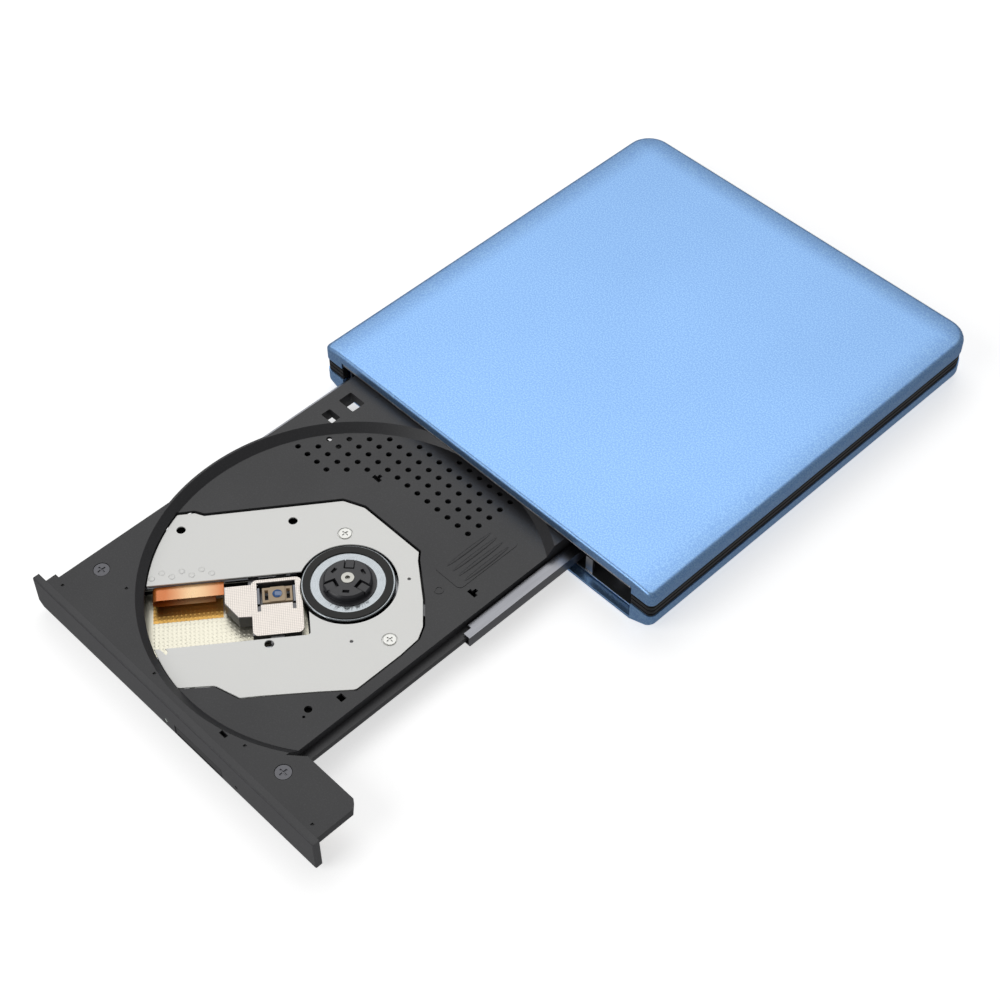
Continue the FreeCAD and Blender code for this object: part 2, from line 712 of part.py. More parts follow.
def tray_openings():
    """Windows and stepped slots through the tray."""
    low = floor_bottom - 1
    rear = tray_length
    cuts = [slab(10.5, 15.7, rear - 21.9, rear - 18.3, low, 1, 0.4),
            slab(9.8, 16.6, rear - 13.8, rear - 8.6, low, 1, 0.4)]
    for x, y in ((spindle.x - 24.6, spindle.y + 33.8), (spindle.x + 29.0, spindle.y + 23.8)):
        cuts.append(box(x - 1.6, x + 1.6, y - 0.7, y + 0.7, low, 0))
        cuts.append(box(x - 0.6, x + 0.6, y - 0.1, y + 1.9, low, 0))
    cuts.append(rod(spindle.x + 26.2, spindle.y - 38.4, low, 0, 1.2))
    cuts.append(rod(spindle.x + 27.3, spindle.y - 41.0, low, 0, 0.45))
    cuts.append(box(spindle.x + 28.6, spindle.x + 31.0, spindle.y - 30.0, spindle.y - 28.0, low, 0))
    cuts.append(box(spindle.x + 16.0, spindle.x + 18.6, 5.0, 6.2, -2, 1))
    cuts.append(box(tray_left - 1, tray_left + tray_wall + 1, 30, 60,
                    -tray_depth - 1, rail_top - rail_height - 0.5))
    cuts.append(box(light_x - 1.5, button_x + button_width + 1.5, bezel_thickness - 1,
                    bezel_thickness + tray_wall + 0.5, -tray_depth - 1, -6.4))
    return cuts


def tray_seats():
    cuts = []
    for x, y in wing_screws_at:
        cuts.append(rod(x, y, -0.45, 1, 2.6))
        cuts.append(rod(x, y, -wing_thickness - 1, 1, 1.05))
    for x, y in ((8.6, 4.9), (22.9, 17.8), (53.3, 4.6), (90.6, 7.4), (123.0, 4.3)):
        cuts.append(box(x - 0.45, x + 0.45, y - 0.45, y + 0.45, -0.5, 1))
    return cuts


def wing_screws():
    return group(cross_screw(x, y, -0.1, 2.6, 0.95, 2.45, 0.35) for x, y in wing_screws_at)


def bezel():
    right = bezel_width
    points = [(0, 0), (right, 0), (right, -bezel_height), (2.2, -bezel_height), (0, -bezel_height + 1.8)]
    corners = [Vector(x, 0, z) for x, z in points]
    body = Part.Face(Part.makePolygon(corners + corners[:1])).extrude(Vector(0, bezel_thickness, 0))
    front = [edge for edge in body.Edges if edge.BoundBox.YMax < 0.01]
    body = body.makeFillet(bezel_round, front)
    gap = button_gap
    body = body.cut(box(button_x - gap, button_x + button_width + gap, -1, bezel_thickness + 1,
                        button_low - gap, button_high + gap))
    for x, radius in ((release_x, release_radius), (light_x, light_radius)):
        body = body.cut(along_y(x, light_z, -1, 4, radius))
    return body


def activity_light():
    return along_y(light_x, light_z, 0.1, bezel_thickness + 1.6, light_radius)


def eject_button():
    cap = box(button_x, button_x + button_width, 0.1, bezel_thickness + 0.2, button_low, button_high)
    cap = cap.makeFillet(0.35, [edge for edge in cap.Edges if edge.BoundBox.YMax < 0.11])
    middle = button_x + button_width / 2
    stem = box(middle - 1, middle + 1, bezel_thickness + 0.1, 3.9, -9.8, -8.8)
    return join([cap, stem])


def tray_board():
    return box(light_x - 3, 98, 4.4, 12.5, -8.4, -7.8)


def eject_switch():
    middle = button_x + button_width / 2
    body = box(middle - 2.5, middle + 2.5, 5.3, 8.3, -9.9, -8.4)
    return join([body, box(middle - 0.8, middle + 0.8, 4.85, 5.4, -9.7, -8.9)])


def tray_bottom_cover():
    inset = tray_wall + 0.3
    sheet_body = box(tray_left + inset, tray_right - inset, 16.5, tray_length - inset,
                     bottom_sheet - 0.4, bottom_sheet)
    near = box(tray_left + inset, light_x - 5, bezel_thickness + inset, 16.6,
               bottom_sheet - 0.4, bottom_sheet)
    under_windows = box(tray_left, 17.0, tray_length - 22.5, tray_length, bottom_sheet - 1, bottom_sheet + 1)
    return join([sheet_body, near]).cut(under_windows)


# ---- latch on the tray ----
def latch_lever():
    """Hook drawn in its shut position, then swung open about its pivot."""
    x, y = latch_x, latch_y
    eye = rod(x, y, -8.6, -7.4, 1.9)
    leg = box(x - 0.7, x + 0.9, y, y + latch_leg, -8.6, -7.4)
    catch = box(x - 2.6, x + 0.9, y + latch_leg - 1.4, y + latch_leg, -8.6, -7.4)
    body = join([eye, leg, catch]).cut(rod(x, y, -9, -7, shaft_radius + running))
    body.rotate(Vector(x, y, 0), Vector(0, 0, 1), -latch_angle)
    return body


def latch_pin():
    body = rod(latch_x, latch_y, -9.0, -wing_thickness, shaft_radius)
    collar = rod(latch_x, latch_y, -7.2, -wing_thickness, 1.6)
    return join([body, collar])


def latch_solenoid():
    x0 = tray_right + 10.2
    body = box(x0, x0 + 4.2, 3.4, 12.4, -8.8, -wing_thickness)
    coil = Part.makeCylinder(1.9, 2.2, Vector(x0 + 2.1, 12.4, -5.9), Vector(0, 1, 0))
    return join([body, coil])


# ---- mechanism ----
def mechanism_plate():
    body = plate_shape(plate_bottom, plate_top, 0, well_floor_radius)
    slot = box(rotor_radius - 2, disc_radius + 10, slot_low, slot_high, plate_bottom - 1, plate_top + 1)
    slot = slot.makeFillet(1.0, upright(slot, lambda edge: edge.Vertexes[0].X < rotor_radius))
    body = body.cut(in_mechanism(slot))
    body = body.cut(rod(spindle.x, spindle.y, -9, 0, rotor_radius + rotor_gap))
    body = body.cut(group(plate_holes(1.45)))
    for dx, dy in ((11.5, 14.3), (16.7, -13.5)):
        body = body.cut(rod(spindle.x + dx, spindle.y + dy, -9, 0, 0.55))
    moon = rod(spindle.x - 19.0, spindle.y - 55.6, -9, 0, 1.5)
    body = body.cut(moon.cut(box(0, spindle.x, 0, spindle.y - 55.4, -9, 1)))
    for x, y in plate_screws_at:
        body = body.cut(rod(x, y, plate_top - 0.3, 0, 2.4)).cut(rod(x, y, -9, 0, 0.9))
    notch = rod(spindle.x - 53.7, spindle.y - 11.7, -9, 0, 3.4)
    return body.cut(notch).removeSplitter()


def plate_screws():
    return group(cross_screw(x, y, plate_top + 0.12, 2.2, 0.85, 1.95, 0.42) for x, y in plate_screws_at)


def mechanism_frame():
    """Cast frame: a flange under the plate, beams and rod blocks beside the pickup, and ears."""
    top, low = plate_bottom, frame_bottom
    deep = top - 1.0
    beam_a = box(-16, rod_main_end + 1.8, -17.0, -15.4, low, deep)
    beam_b = box(-16, rod_sub_end + 1.4, 20.7, 22.4, low, deep)
    back = box(-19, -16, -17.0, 22.4, low + 1.6, deep + 0.1)
    ends = [box(15.2, 17.2, -17.0, rod_main_v + 1.6, low, deep),
            box(rod_main_end, rod_main_end + 1.8, -17.0, rod_main_v + 1.6, low, deep),
            box(14.6, 17.2, rod_sub_v - 1.6, 22.4, low, deep),
            box(rod_sub_end, rod_sub_end + 1.4, rod_sub_v - 1.6, 22.4, low, deep)]
    cast = in_mechanism(join([beam_a, beam_b, back] + ends))
    flange = plate_shape(deep, top, -1.5, well_floor_radius)
    well = box(rotor_radius - 2, disc_radius + 20, -15.4, 20.7, -9, 0)
    flange = flange.cut(in_mechanism(well))
    body = join([flange, cast] + [ear(dx, dy) for dx, dy in grommets_at])
    body = body.cut(rod(spindle.x, spindle.y, low - 1, 0, rotor_radius + rotor_gap))
    body = body.cut(in_mechanism(rod_along(14, rod_main_end + 5, rod_main_v, rod_level, rod_radius)))
    body = body.cut(in_mechanism(rod_along(14, rod_sub_end + 5, rod_sub_v, rod_level, rod_radius)))
    bore = rod_along(14, rod_main_end + 5, screw_v, rod_level, lead_radius + running)
    body = body.cut(in_mechanism(bore))
    for dx, dy in grommets_at:
        body = body.cut(rod(spindle.x + dx, spindle.y + dy, -9, -2, grommet_radius))
    for x, y in plate_screws_at:
        body = body.cut(rod(x, y, -9, 0, 0.86))
    return body.cut(group(plate_holes(1.8))).removeSplitter()


def ear(dx, dy):
    """Ring round a grommet with an arm to the flange."""
    ring = rod(spindle.x + dx, spindle.y + dy, ear_low, ear_high, grommet_radius + 1.1)
    arm = box(0, 9.0, -2.0, 2.0, ear_low + 1.0, plate_bottom - 0.5)
    arm.rotate(Vector(0, 0, 0), Vector(0, 0, 1), math.degrees(math.atan2(-dy, -dx)))
    arm.translate(spindle + Vector(dx, dy, 0))
    return ring.fuse(arm)


def frame_dampers():
    rings = []
    for dx, dy in grommets_at:
        x, y = spindle.x + dx, spindle.y + dy
        rings.append(pipe(x, y, ear_low - 0.5, ear_high + 0.5, grommet_radius, 1.2))
    return group(rings)


def damper_posts():
    """Posts of the tray that the grommets sit on."""
    return [rod(spindle.x + dx, spindle.y + dy, ear_low - 1.0, floor_bottom + 0.1, 1.15)
            for dx, dy in grommets_at]


def guide_rod(start, end, v):
    return in_mechanism(rod_along(start, end, v, rod_level, rod_radius))


def lead_screw():
    return in_mechanism(rod_along(15.6, rod_main_end + 1.9, screw_v, rod_level, lead_radius))


def sled_motor():
    start = rod_main_end + 2.0
    can = rod_along(start, start + 8.0, screw_v, rod_level, 2.9)
    can = can.common(box(start - 1, start + 9, screw_v - 3, screw_v + 3, rod_level - 2.6, rod_level + 2.5))
    plate = box(start - 0.2, start + 0.5, screw_v - 3.4, screw_v + 3.4, rod_level - 2.6, rod_level + 2.3)
    return in_mechanism(join([can, plate]).cut(rod_along(start - 1, start + 0.05, screw_v, rod_level, 1.1)))


def spindle_base():
    base = rod(0, 0, -7.9, -7.3, rotor_radius - 0.6)
    arm = box(-20.5, -10, -5, 5, -7.9, -7.3)
    stator = rod(0, 0, -7.4, -3.7, rotor_radius - 1.3)
    slots = []
    for index in range(9):
        slot = box(5.2, rotor_radius, -0.45, 0.45, -7.0, -3.0)
        slot.rotate(Vector(0, 0, 0), Vector(0, 0, 1), index * 40)
        slots.append(slot)
    stator = stator.cut(group(slots))
    body = join([base, arm, stator]).cut(rod(0, 0, -9, 0, 2.6))
    return in_mechanism(body)


def spindle_bearing():
    return in_mechanism(pipe(0, 0, -7.9, -3.6, 2.6, shaft_radius + running))


def turntable():
    top = seat - ring_thickness
    disc = rod(0, 0, top - 0.7, top, rotor_radius)
    skirt = pipe(0, 0, -6.2, top, rotor_radius, rotor_radius - 0.7)
    body = join([disc, skirt])
    dish = Part.makeCone(hub_radius + 1.4, ring_inner - 0.2, 0.35, Vector(0, 0, top - 0.35))
    body = body.cut(dish)
    rim = [edge for edge in body.Edges if abs(edge.BoundBox.ZMax - top) < 0.01
           and edge.BoundBox.XLength > 2 * rotor_radius - 0.1]
    body = body.makeFillet(0.3, rim)
    return in_mechanism(body.cut(rod(0, 0, -9, 2, shaft_radius)))


def rubber_ring():
    ring = pipe(0, 0, seat - ring_thickness, seat, ring_outer, ring_inner)
    return in_mechanism(ring)


def hub():
    low = seat - ring_thickness - 0.35
    body = rod(0, 0, low, hub_top, hub_radius)
    top = [edge for edge in body.Edges if edge.BoundBox.ZMin > hub_top - 0.01]
    body = body.makeChamfer(0.55, top)
    body = join([body, rod(0, 0, low, low + 0.3, hub_flange)])
    body = body.cut(rod(0, 0, -9, 2, bush_radius + 0.02))
    for index in range(3):
        slot = box(3.5, hub_radius + 1, -claw_width / 2 - 0.3, claw_width / 2 + 0.3, seat + 0.1, 1)
        lock = box(4.6, 5.6, -1.0, 1.0, -0.9, 1)
        lock.rotate(Vector(0, 0, 0), Vector(0, 0, 1), 60)
        for shape in (slot, lock):
            shape.rotate(Vector(0, 0, 0), Vector(0, 0, 1), index * 120 + 20)
            body = body.cut(shape)
    return in_mechanism(body)


def hub_claw(index):
    half = claw_width / 2
    body = box(4.3, hub_radius + 0.25, -half, half, seat + 0.15, hub_top - 0.55)
    nose = [edge for edge in body.Edges
            if edge.BoundBox.XMin > hub_radius and edge.BoundBox.YLength > claw_width - 0.1]
    body = body.makeChamfer(0.45, nose)
    body.rotate(Vector(0, 0, 0), Vector(0, 0, 1), index * 120 + 20)
    return in_mechanism(body)


def spindle_shaft():
    shaft = rod(0, 0, -7.7, hub_top + 0.05, shaft_radius)
    low = seat - ring_thickness - 0.34
    bush = rod(0, 0, low, hub_top + 0.15, bush_radius)
    body = join([shaft, bush])
    return in_mechanism(body.cut(rod(0, 0, hub_top - 0.6, 1, 0.7)))


# ---- pickup, drawn in u and v ----
def side_body(inset):
    return [(29.2, -3.8 + inset), (37.2 - inset, -3.8 + inset), (37.2 - inset, 2.6 - inset),
            (33.2 - inset / 2, 8.3 - inset), (29.2, 8.5 - inset)]


def pickup_base():
    low, top = pickup_bottom, pickup_top
    main = box(14.9, 29.2, -5.0, 15.2, low, top)
    main = main.cut(box(15.5, 27.9, -4.1, 4.4, low + 1.0, 0))
    side = prism(side_body(0), low, side_top)
    lugs = [box(18.5, 21.5, -10.0, -4.9, -7.9, -4.5), box(27.0, 30.0, -10.0, -3.7, -7.9, -4.5)]
    fork = box(20.0, 24.0, 15.1, 20.3, -7.9, -4.5)
    body = join([main, side, fork] + lugs)
    reach = rod_radius + running
    body = body.cut(rod_along(10, 40, rod_main_v, rod_level, reach))
    body = body.cut(rod_along(10, 40, rod_sub_v, rod_level, reach))
    body = body.cut(box(19.5, 24.5, rod_sub_v, 21, rod_level - reach, rod_level + reach))
    body = body.cut(rod(0, 0, -9, 0, rotor_radius + 0.5))
    return in_mechanism(body.removeSplitter())


def pickup_cover():
    low = pickup_top
    body = slab(14.0, 29.1, -5.3, 15.5, low, low + foil, 1.8)
    window = box(15.9, 27.5, -4.2, 4.2, -9, 0)
    legs = [box(15.9, 17.0, 4, 6.6, -9, 0), box(26.4, 27.5, 4, 6.6, -9, 0)]
    body = body.cut(window).cut(group(legs))
    lap = box(28.9, 29.3, -3.6, 8.3, side_top, low + foil)
    body = join([body, lap, prism(side_body(0.2), side_top, side_top + foil)])
    return in_mechanism(body.cut(rod(0, 0, -9, 0, rotor_radius + 0.35)))


def drive_nut():
    """Rack piece: a rounded seat that rides on the lead screw."""
    under_rod = rod_level - rod_radius - 0.15
    body = box(22.6, 26.0, screw_v - 1.4, -5.05, under_rod - 0.8, under_rod)
    seat_block = box(22.6, 26.0, screw_v - 1.4, screw_v + 1.5, under_rod - 0.8, rod_level + 0.6)
    body = join([body, seat_block])
    body = body.cut(rod_along(20, 30, screw_v, rod_level, lead_radius + running))
    return in_mechanism(body)


def pickup_magnets():
    low = pickup_bottom + 1.0
    blocks = [box(u, u + 1.1, -2.9, 3.2, low, low + 2.6) for u in (15.6, 26.7)]
    return in_mechanism(group(blocks))


def lens_holder():
    """Light frame with a raised middle for the lens and a coil window on each side of it."""
    low, top = -5.9, -4.15
    half_u, half_v = 4.5, 2.75
    frame = box(lens_u - half_u, lens_u + half_u, lens_v - half_v, lens_v + half_v, low, top - 0.25)
    middle = slab(lens_u - 2.3, lens_u + 2.3, lens_v - half_v, lens_v + half_v, low, top, 0.5)
    body = join([frame, middle])
    for inner, outer in ((-3.8, -2.7), (2.7, 3.8)):
        body = body.cut(box(lens_u + inner, lens_u + outer, lens_v - 1.9, lens_v + 1.9, low - 1, 0))
    body = body.cut(rod(lens_u, lens_v, -9, 0, lens_radius - 0.3))
    return in_mechanism(body.cut(rod(lens_u, lens_v, -4.6, 0, lens_radius)))


def lens():
    dome = Part.makeSphere(4.0, Vector(lens_u, lens_v, -7.7))
    seat_rim = rod(lens_u, lens_v, -4.7, -4.2, lens_radius)
    body = rod(lens_u, lens_v, -4.6, -3.0, lens_radius)
    return in_mechanism(body.common(dome.fuse(seat_rim)))


def pickup_flex():
    """Flat flex: out from the pickup, round a fold and back under itself."""
    strip = folded_strip(-40, -57.2, -37.25, -7.1, -4.15)
    stretch = FreeCAD.Matrix()
    stretch.scale(1.0, 4.9, 1.0)
    strip = strip.transformGeometry(stretch)
    strip.rotate(Vector(0, 0, 0), Vector(0, 0, 1), 180)
    strip.translate(Vector(0, -1.4, 0))
    return in_mechanism(strip)


def tray_with_posts():
    return join([tray()] + damper_posts())


nodes = {
    "top_shell": top_shell,
    "bottom_shell": bottom_shell,
    "mid_frame": mid_frame,
    "rubber_feet": rubber_feet,
    "case_screws": case_screws,
    "bridge_board": bridge_board,
    "bridge_chip": bridge_chip,
    "usb_socket": usb_socket,
    "bridge_connector": bridge_connector,
    "drive_chassis": drive_chassis,
    "drive_cover": drive_cover,
    "drive_screws": drive_screws,
    "guide_left": lambda: guide(-1),
    "guide_right": lambda: guide(1),
    "main_board": main_board,
    "board_chips": board_chips,
    "drive_connector": drive_connector,
    "latch_post": latch_post,
    "eject_housing": eject_housing,
    "eject_pusher": eject_pusher,
    "eject_spring": eject_spring,
    "tray_flex": tray_flex,
    "rail_left": lambda: rail(-1),
    "rail_right": lambda: rail(1),
    "tray": tray_with_posts,
    "wing_screws": wing_screws,
    "bezel": bezel,
    "activity_light": activity_light,
    "eject_button": eject_button,
    "tray_board": tray_board,
    "eject_switch": eject_switch,
    "tray_bottom_cover": tray_bottom_cover,
    "latch_lever": latch_lever,
    "latch_pin": latch_pin,
    "latch_solenoid": latch_solenoid,
    "mechanism_plate": mechanism_plate,
    "plate_screws": plate_screws,
    "mechanism_frame": mechanism_frame,
    "frame_dampers": frame_dampers,
    "guide_rod_main": lambda: guide_rod(15.2, rod_main_end + 1.8, rod_main_v),
    "guide_rod_sub": lambda: guide_rod(14.8, rod_sub_end + 1.4, rod_sub_v),
    "lead_screw": lead_screw,
    "sled_motor": sled_motor,
    "spindle_base": spindle_base,
    "spindle_bearing": spindle_bearing,
    "turntable": turntable,
    "rubber_ring": rubber_ring,
    "hub": hub,
    "hub_claw_1": lambda: hub_claw(0),
    "hub_claw_2": lambda: hub_claw(1),
    "hub_claw_3": lambda: hub_claw(2),
    "spindle_shaft": spindle_shaft,
    "pickup_base": pickup_base,
    "pickup_cover": pickup_cover,
    "drive_nut": drive_nut,
    "pickup_magnets": pickup_magnets,
    "lens_holder": lens_holder,
    "lens": lens,
    "pickup_flex": pickup_flex,
}

os.makedirs("parts", exist_ok=True)
to_base = Vector(-bezel_width / 2, -case_rear / 2, -ground)
for name, make in nodes.items():
    shape = make()
    shape.translate(to_base)
    if not shape.isValid() or not shape.Solids:
        print("BAD SHAPE", name)
    print(f"{name}: {len(shape.Solids)} solid(s), {shape.Volume:.1f} mm3")
    shape.exportStep(f"parts/{name}.step")
print("travel", travel, "pickup travel", pickup_travel, "to base", to_base)
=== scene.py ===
# %% [markdown]
# # A slim external optical drive, its tray out
# The object is a flat metal case that holds a tray drive. The tray carries a spindle with a hub that
# grips the disc, and a pickup that slides on rods under a slot. The engineering model is loaded as a
# fixed frame first: every piece below takes its place from that frame, so nothing has to be fitted by
# eye.

# %% Load the frame
import json
import math

import bmesh
import bpy
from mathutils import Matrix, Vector


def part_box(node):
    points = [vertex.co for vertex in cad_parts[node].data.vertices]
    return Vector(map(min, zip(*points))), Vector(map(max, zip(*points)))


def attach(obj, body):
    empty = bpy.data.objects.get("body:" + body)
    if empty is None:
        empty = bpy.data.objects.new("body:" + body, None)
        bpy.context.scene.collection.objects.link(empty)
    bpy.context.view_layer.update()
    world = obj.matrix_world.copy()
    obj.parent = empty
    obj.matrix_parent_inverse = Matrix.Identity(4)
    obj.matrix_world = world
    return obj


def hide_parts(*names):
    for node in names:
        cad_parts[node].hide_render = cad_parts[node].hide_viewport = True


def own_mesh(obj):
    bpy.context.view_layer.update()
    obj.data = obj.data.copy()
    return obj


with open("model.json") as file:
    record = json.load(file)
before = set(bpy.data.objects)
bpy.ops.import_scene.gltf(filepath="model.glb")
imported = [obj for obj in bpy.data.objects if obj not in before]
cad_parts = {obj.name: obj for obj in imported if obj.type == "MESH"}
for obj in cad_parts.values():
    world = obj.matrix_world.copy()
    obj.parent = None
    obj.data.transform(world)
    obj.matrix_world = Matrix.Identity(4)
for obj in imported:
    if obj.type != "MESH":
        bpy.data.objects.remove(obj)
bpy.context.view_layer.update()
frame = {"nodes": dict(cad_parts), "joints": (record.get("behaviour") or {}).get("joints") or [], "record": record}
nodes = frame["nodes"]
scene = bpy.context.scene

# %% [markdown]
# A drive is drawn from its bezel. One helper turns a place measured in millimetres from the bezel's
# front, top, left corner into the frame's metres, and another does the same for the pickup's path, which
# leaves the spindle at a slant: u runs outward along the path and v runs across it.

# %% Places on the drive
MM = 0.001
bezel_low, bezel_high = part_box("bezel")
corner = Vector((bezel_low.x, bezel_low.y, bezel_high.z))
shaft_low, shaft_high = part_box("spindle_shaft")
spindle = (shaft_low + shaft_high) / 2
slide_axis = Vector(next(j["axis"] for j in frame["joints"] if j["name"] == "pickup_slide")).normalized()
across_axis = Vector((-slide_axis.y, slide_axis.x, 0))


def at(x, y, z):
    """A point x right of, y behind and z above the bezel's front top left corner, in millimetres."""
    return corner + Vector((x, y, z)) * MM


def on_path(u, v, z):
    """A point u mm out from the spindle along the pickup's path, v across it and z above the tray top."""
    place = spindle + slide_axis * u * MM + across_axis * v * MM
    return Vector((place.x, place.y, corner.z + z * MM))


path_turn = math.atan2(slide_axis.y, slide_axis.x)
print("spindle", [round(c / MM, 2) for c in spindle - corner], "path", round(math.degrees(path_turn), 1))

# %% [markdown]
# Shader and geometry trees are both graphs of nodes. Written out link by link they're hard to read, so a
# small class wraps one socket and gives it Python's own operators. Each operator adds the Math node that
# it stands for, and 1 - mask works as well as mask - 1.


# %% Sockets that add and multiply
class Field:
    """One socket of a tree, used as a number in an expression."""

    def __init__(self, graph, socket):
        self.graph, self.socket = graph, socket

    def maths(self, operation, *values):
        return self.graph.node("ShaderNodeMath", {"operation": operation}, dict(enumerate(values)))

    def __add__(self, other):
        return self.maths("ADD", self, other)

    def __mul__(self, other):
        return self.maths("MULTIPLY", self, other)

    def __sub__(self, other):
        return self.maths("SUBTRACT", self, other)

    def __rsub__(self, other):
        return self.maths("SUBTRACT", other, self)

    def __truediv__(self, other):
        return self.maths("DIVIDE", self, other)

    def __pow__(self, other):
        return self.maths("POWER", self, other)

    def __gt__(self, other):
        return self.maths("GREATER_THAN", self, other)

    def __lt__(self, other):
        return self.maths("LESS_THAN", self, other)

    __radd__, __rmul__ = __add__, __mul__


class Graph:
    """A node tree that grows by one method."""

    def __init__(self, tree):
        self.tree = tree

    def node(self, kind, settings=None, values=None, out=0):
        """Add a node of that kind, set it up, feed its sockets, and return the socket that it gives."""
        made = self.tree.nodes.new(kind)
        for name, value in (settings or {}).items():
            if name == "stops":
                ramp = made.color_ramp
                while len(ramp.elements) < len(value):
                    ramp.elements.new(0.5)
                for element, (place, colour) in zip(ramp.elements, value):
                    element.position, element.color = place, colour
            else:
                setattr(made, name, value)
        for name, value in (values or {}).items():
            self.feed(made.inputs[name], value)
        return Field(self, made.outputs[out])

    def feed(self, socket, value):
        if isinstance(value, Field):
            self.tree.links.new(value.socket, socket)
        else:
            socket.default_value = value


# %% [markdown]
# Paint colours are easiest to name as the eye sees them, from 0 to 255, while a shader works in linear
# light. A finish is a material with one shader. Its constants are set on the shader's own sockets, and
# what changes over a surface goes to its colour, roughness or normal. Patterns read Object coordinates,
# which here are metres in the frame, so a grain has its real size on every piece.


# %% Colours and finishes
def tone(red, green, blue):
    """A colour as the eye sees it, turned into linear light."""
    linear = [((c / 255 + 0.055) / 1.055) ** 2.4 if c > 10 else c / 255 / 12.92 for c in (red, green, blue)]
    return (*linear, 1.0)


class Finish(Graph):
    """A material with one shader and helpers for grain."""

    def __init__(self, name, colour, rough, metal=0.0, **constants):
        self.material = bpy.data.materials.new(name)
        self.material.use_nodes = True
        super().__init__(self.material.node_tree)
        self.shader = self.tree.nodes["Principled BSDF"]
        self.colour, self.rough = colour, rough
        self.give("Base Color", colour)
        self.give("Roughness", rough)
        self.give("Metallic", metal)
        for socket, value in constants.items():
            self.give(socket.replace("_", " "), value)
        self.place = self.node("ShaderNodeTexCoord", out=3)

    def give(self, name, value):
        self.feed(self.shader.inputs[name], value)

    def on_path(self, axis):
        """The place along X (out from the spindle on the pickup's path), Y (across it) or Z, in metres."""
        turned = self.node("ShaderNodeMapping", {"vector_type": "TEXTURE"},
                           {"Vector": self.place, "Location": tuple(spindle), "Rotation": (0, 0, path_turn)})
        return self.node("ShaderNodeSeparateXYZ", None, {0: turned}, out="XYZ".index(axis))

    def from_spindle(self):
        """The distance from the spindle's axis, in metres."""
        away, across = self.on_path("X"), self.on_path("Y")
        return (away * away + across * across) ** 0.5

    def noise(self, size, detail=2.0, stretch=None):
        """Cloudy noise whose blotches are about that many millimetres across."""
        where = self.place
        if stretch:
            where = self.node("ShaderNodeMapping", None, {"Vector": where, "Scale": stretch})
        return self.node("ShaderNodeTexNoise", None,
                         {"Vector": where, "Scale": 1 / (size * MM), "Detail": detail})

    def vary(self, mask, other):
        """Let the colour go from its own to the other one by the mask."""
        mixed = self.node("ShaderNodeMix", {"data_type": "RGBA"}, {0: mask, 6: self.colour, 7: other}, out=2)
        self.give("Base Color", mixed)
        return mixed

    def dull(self, mask, spread):
        """Let the roughness change by spread over the mask."""
        self.give("Roughness", mask * spread + (self.rough - spread / 2))

    def bump(self, height, depth, strength=1.0):
        """Raise the surface by up to depth millimetres where height is 1."""
        normal = self.node("ShaderNodeBump", None,
                           {"Height": height, "Distance": depth * MM, "Strength": strength})
        self.give("Normal", normal)


# %% [markdown]
# ## The case's blue metal
# The shells are aluminium, blasted with fine beads and then dyed blue. Blasting leaves tiny facets that
# catch the light one by one, so the metal looks soft from afar and sparkles near by. A fine noise in the
# roughness gives the sparkle, the same noise paints lighter specks into the colour as a painted glint, and
# as a shallow bump it gives the facets.


# %% Blue metal
def blasted_metal():
    paint = Finish("blue_blasted_metal", tone(142, 186, 243), 0.42, metal=0.94)
    facets = paint.noise(0.5, detail=3.0)
    cloud = paint.noise(30.0, detail=2.0)
    sparkle = paint.node("ShaderNodeMapRange", None, {0: facets, 1: 0.42, 2: 0.62})
    # painted glint: the colour turns a lighter blue on random facets and stands in for their sparkle
    paint.vary(sparkle, tone(168, 211, 255))
    paint.dull(facets * 0.75 + cloud * 0.25, 0.16)
    paint.bump(facets, 0.03, 0.35)
    return paint.material


blue_metal = blasted_metal()
print("made", blue_metal.name)

# %% [markdown]
# ## Moulded plastics
# The tray, bezel and frame are moulded in dark plastic. The mould is etched, which leaves a matt, pebbled
# skin and a few paler specks. One function makes them all, with its own colour, pebble size and gloss for
# each piece.


# %% Dark plastics
def moulded(name, colour, rough, pebble=0.22, depth=0.02, speck=0.35):
    paint = Finish(name, colour, rough, Specular_IOR_Level=0.5)
    pebbles = paint.noise(pebble, detail=2.0)
    cloud = paint.noise(18.0, detail=1.0)
    light = tuple(min(1.0, c * 1.55 + 0.004) for c in colour[:3]) + (1.0,)
    specks = paint.node("ShaderNodeMapRange", None, {0: pebbles, 1: 0.5, 2: 0.75})
    paint.vary(specks * speck + cloud * 0.12, light)
    paint.dull(cloud, 0.1)
    paint.bump(pebbles, depth, 0.5)
    return paint.material


tray_plastic = moulded("tray_plastic", tone(51, 51, 53), 0.4, pebble=0.5, depth=0.05, speck=0.5)
bezel_plastic = moulded("bezel_plastic", tone(64, 64, 66), 0.42, pebble=0.4, depth=0.03)
frame_plastic = moulded("frame_plastic", tone(22, 22, 24), 0.42, pebble=0.3)
button_plastic = moulded("button_plastic", tone(38, 38, 40), 0.3, pebble=0.2, depth=0.008)
hub_plastic = moulded("hub_plastic", tone(50, 50, 54), 0.3, pebble=0.2, depth=0.01)
holder_plastic = moulded("holder_plastic", tone(196, 172, 140), 0.4, pebble=0.1, depth=0.006)
socket_plastic = moulded("socket_plastic", tone(18, 18, 19), 0.4, pebble=0.2, depth=0.008)
foot_rubber = moulded("foot_rubber", tone(30, 30, 31), 0.78, pebble=0.25, depth=0.03)
ring_rubber = moulded("ring_rubber", tone(52, 52, 51), 0.7, pebble=0.18, depth=0.012)
print("made", len(bpy.data.materials), "finishes so far")

# %% [markdown]
# ## Bare metals
# Sheet steel that is rolled and zinc coated has faint streaks along one direction. Cast metal has an
# even, cloudy skin, and turned metal is nearly smooth. The same function makes them: the stretch of its
# noise is what turns a cloud into streaks.


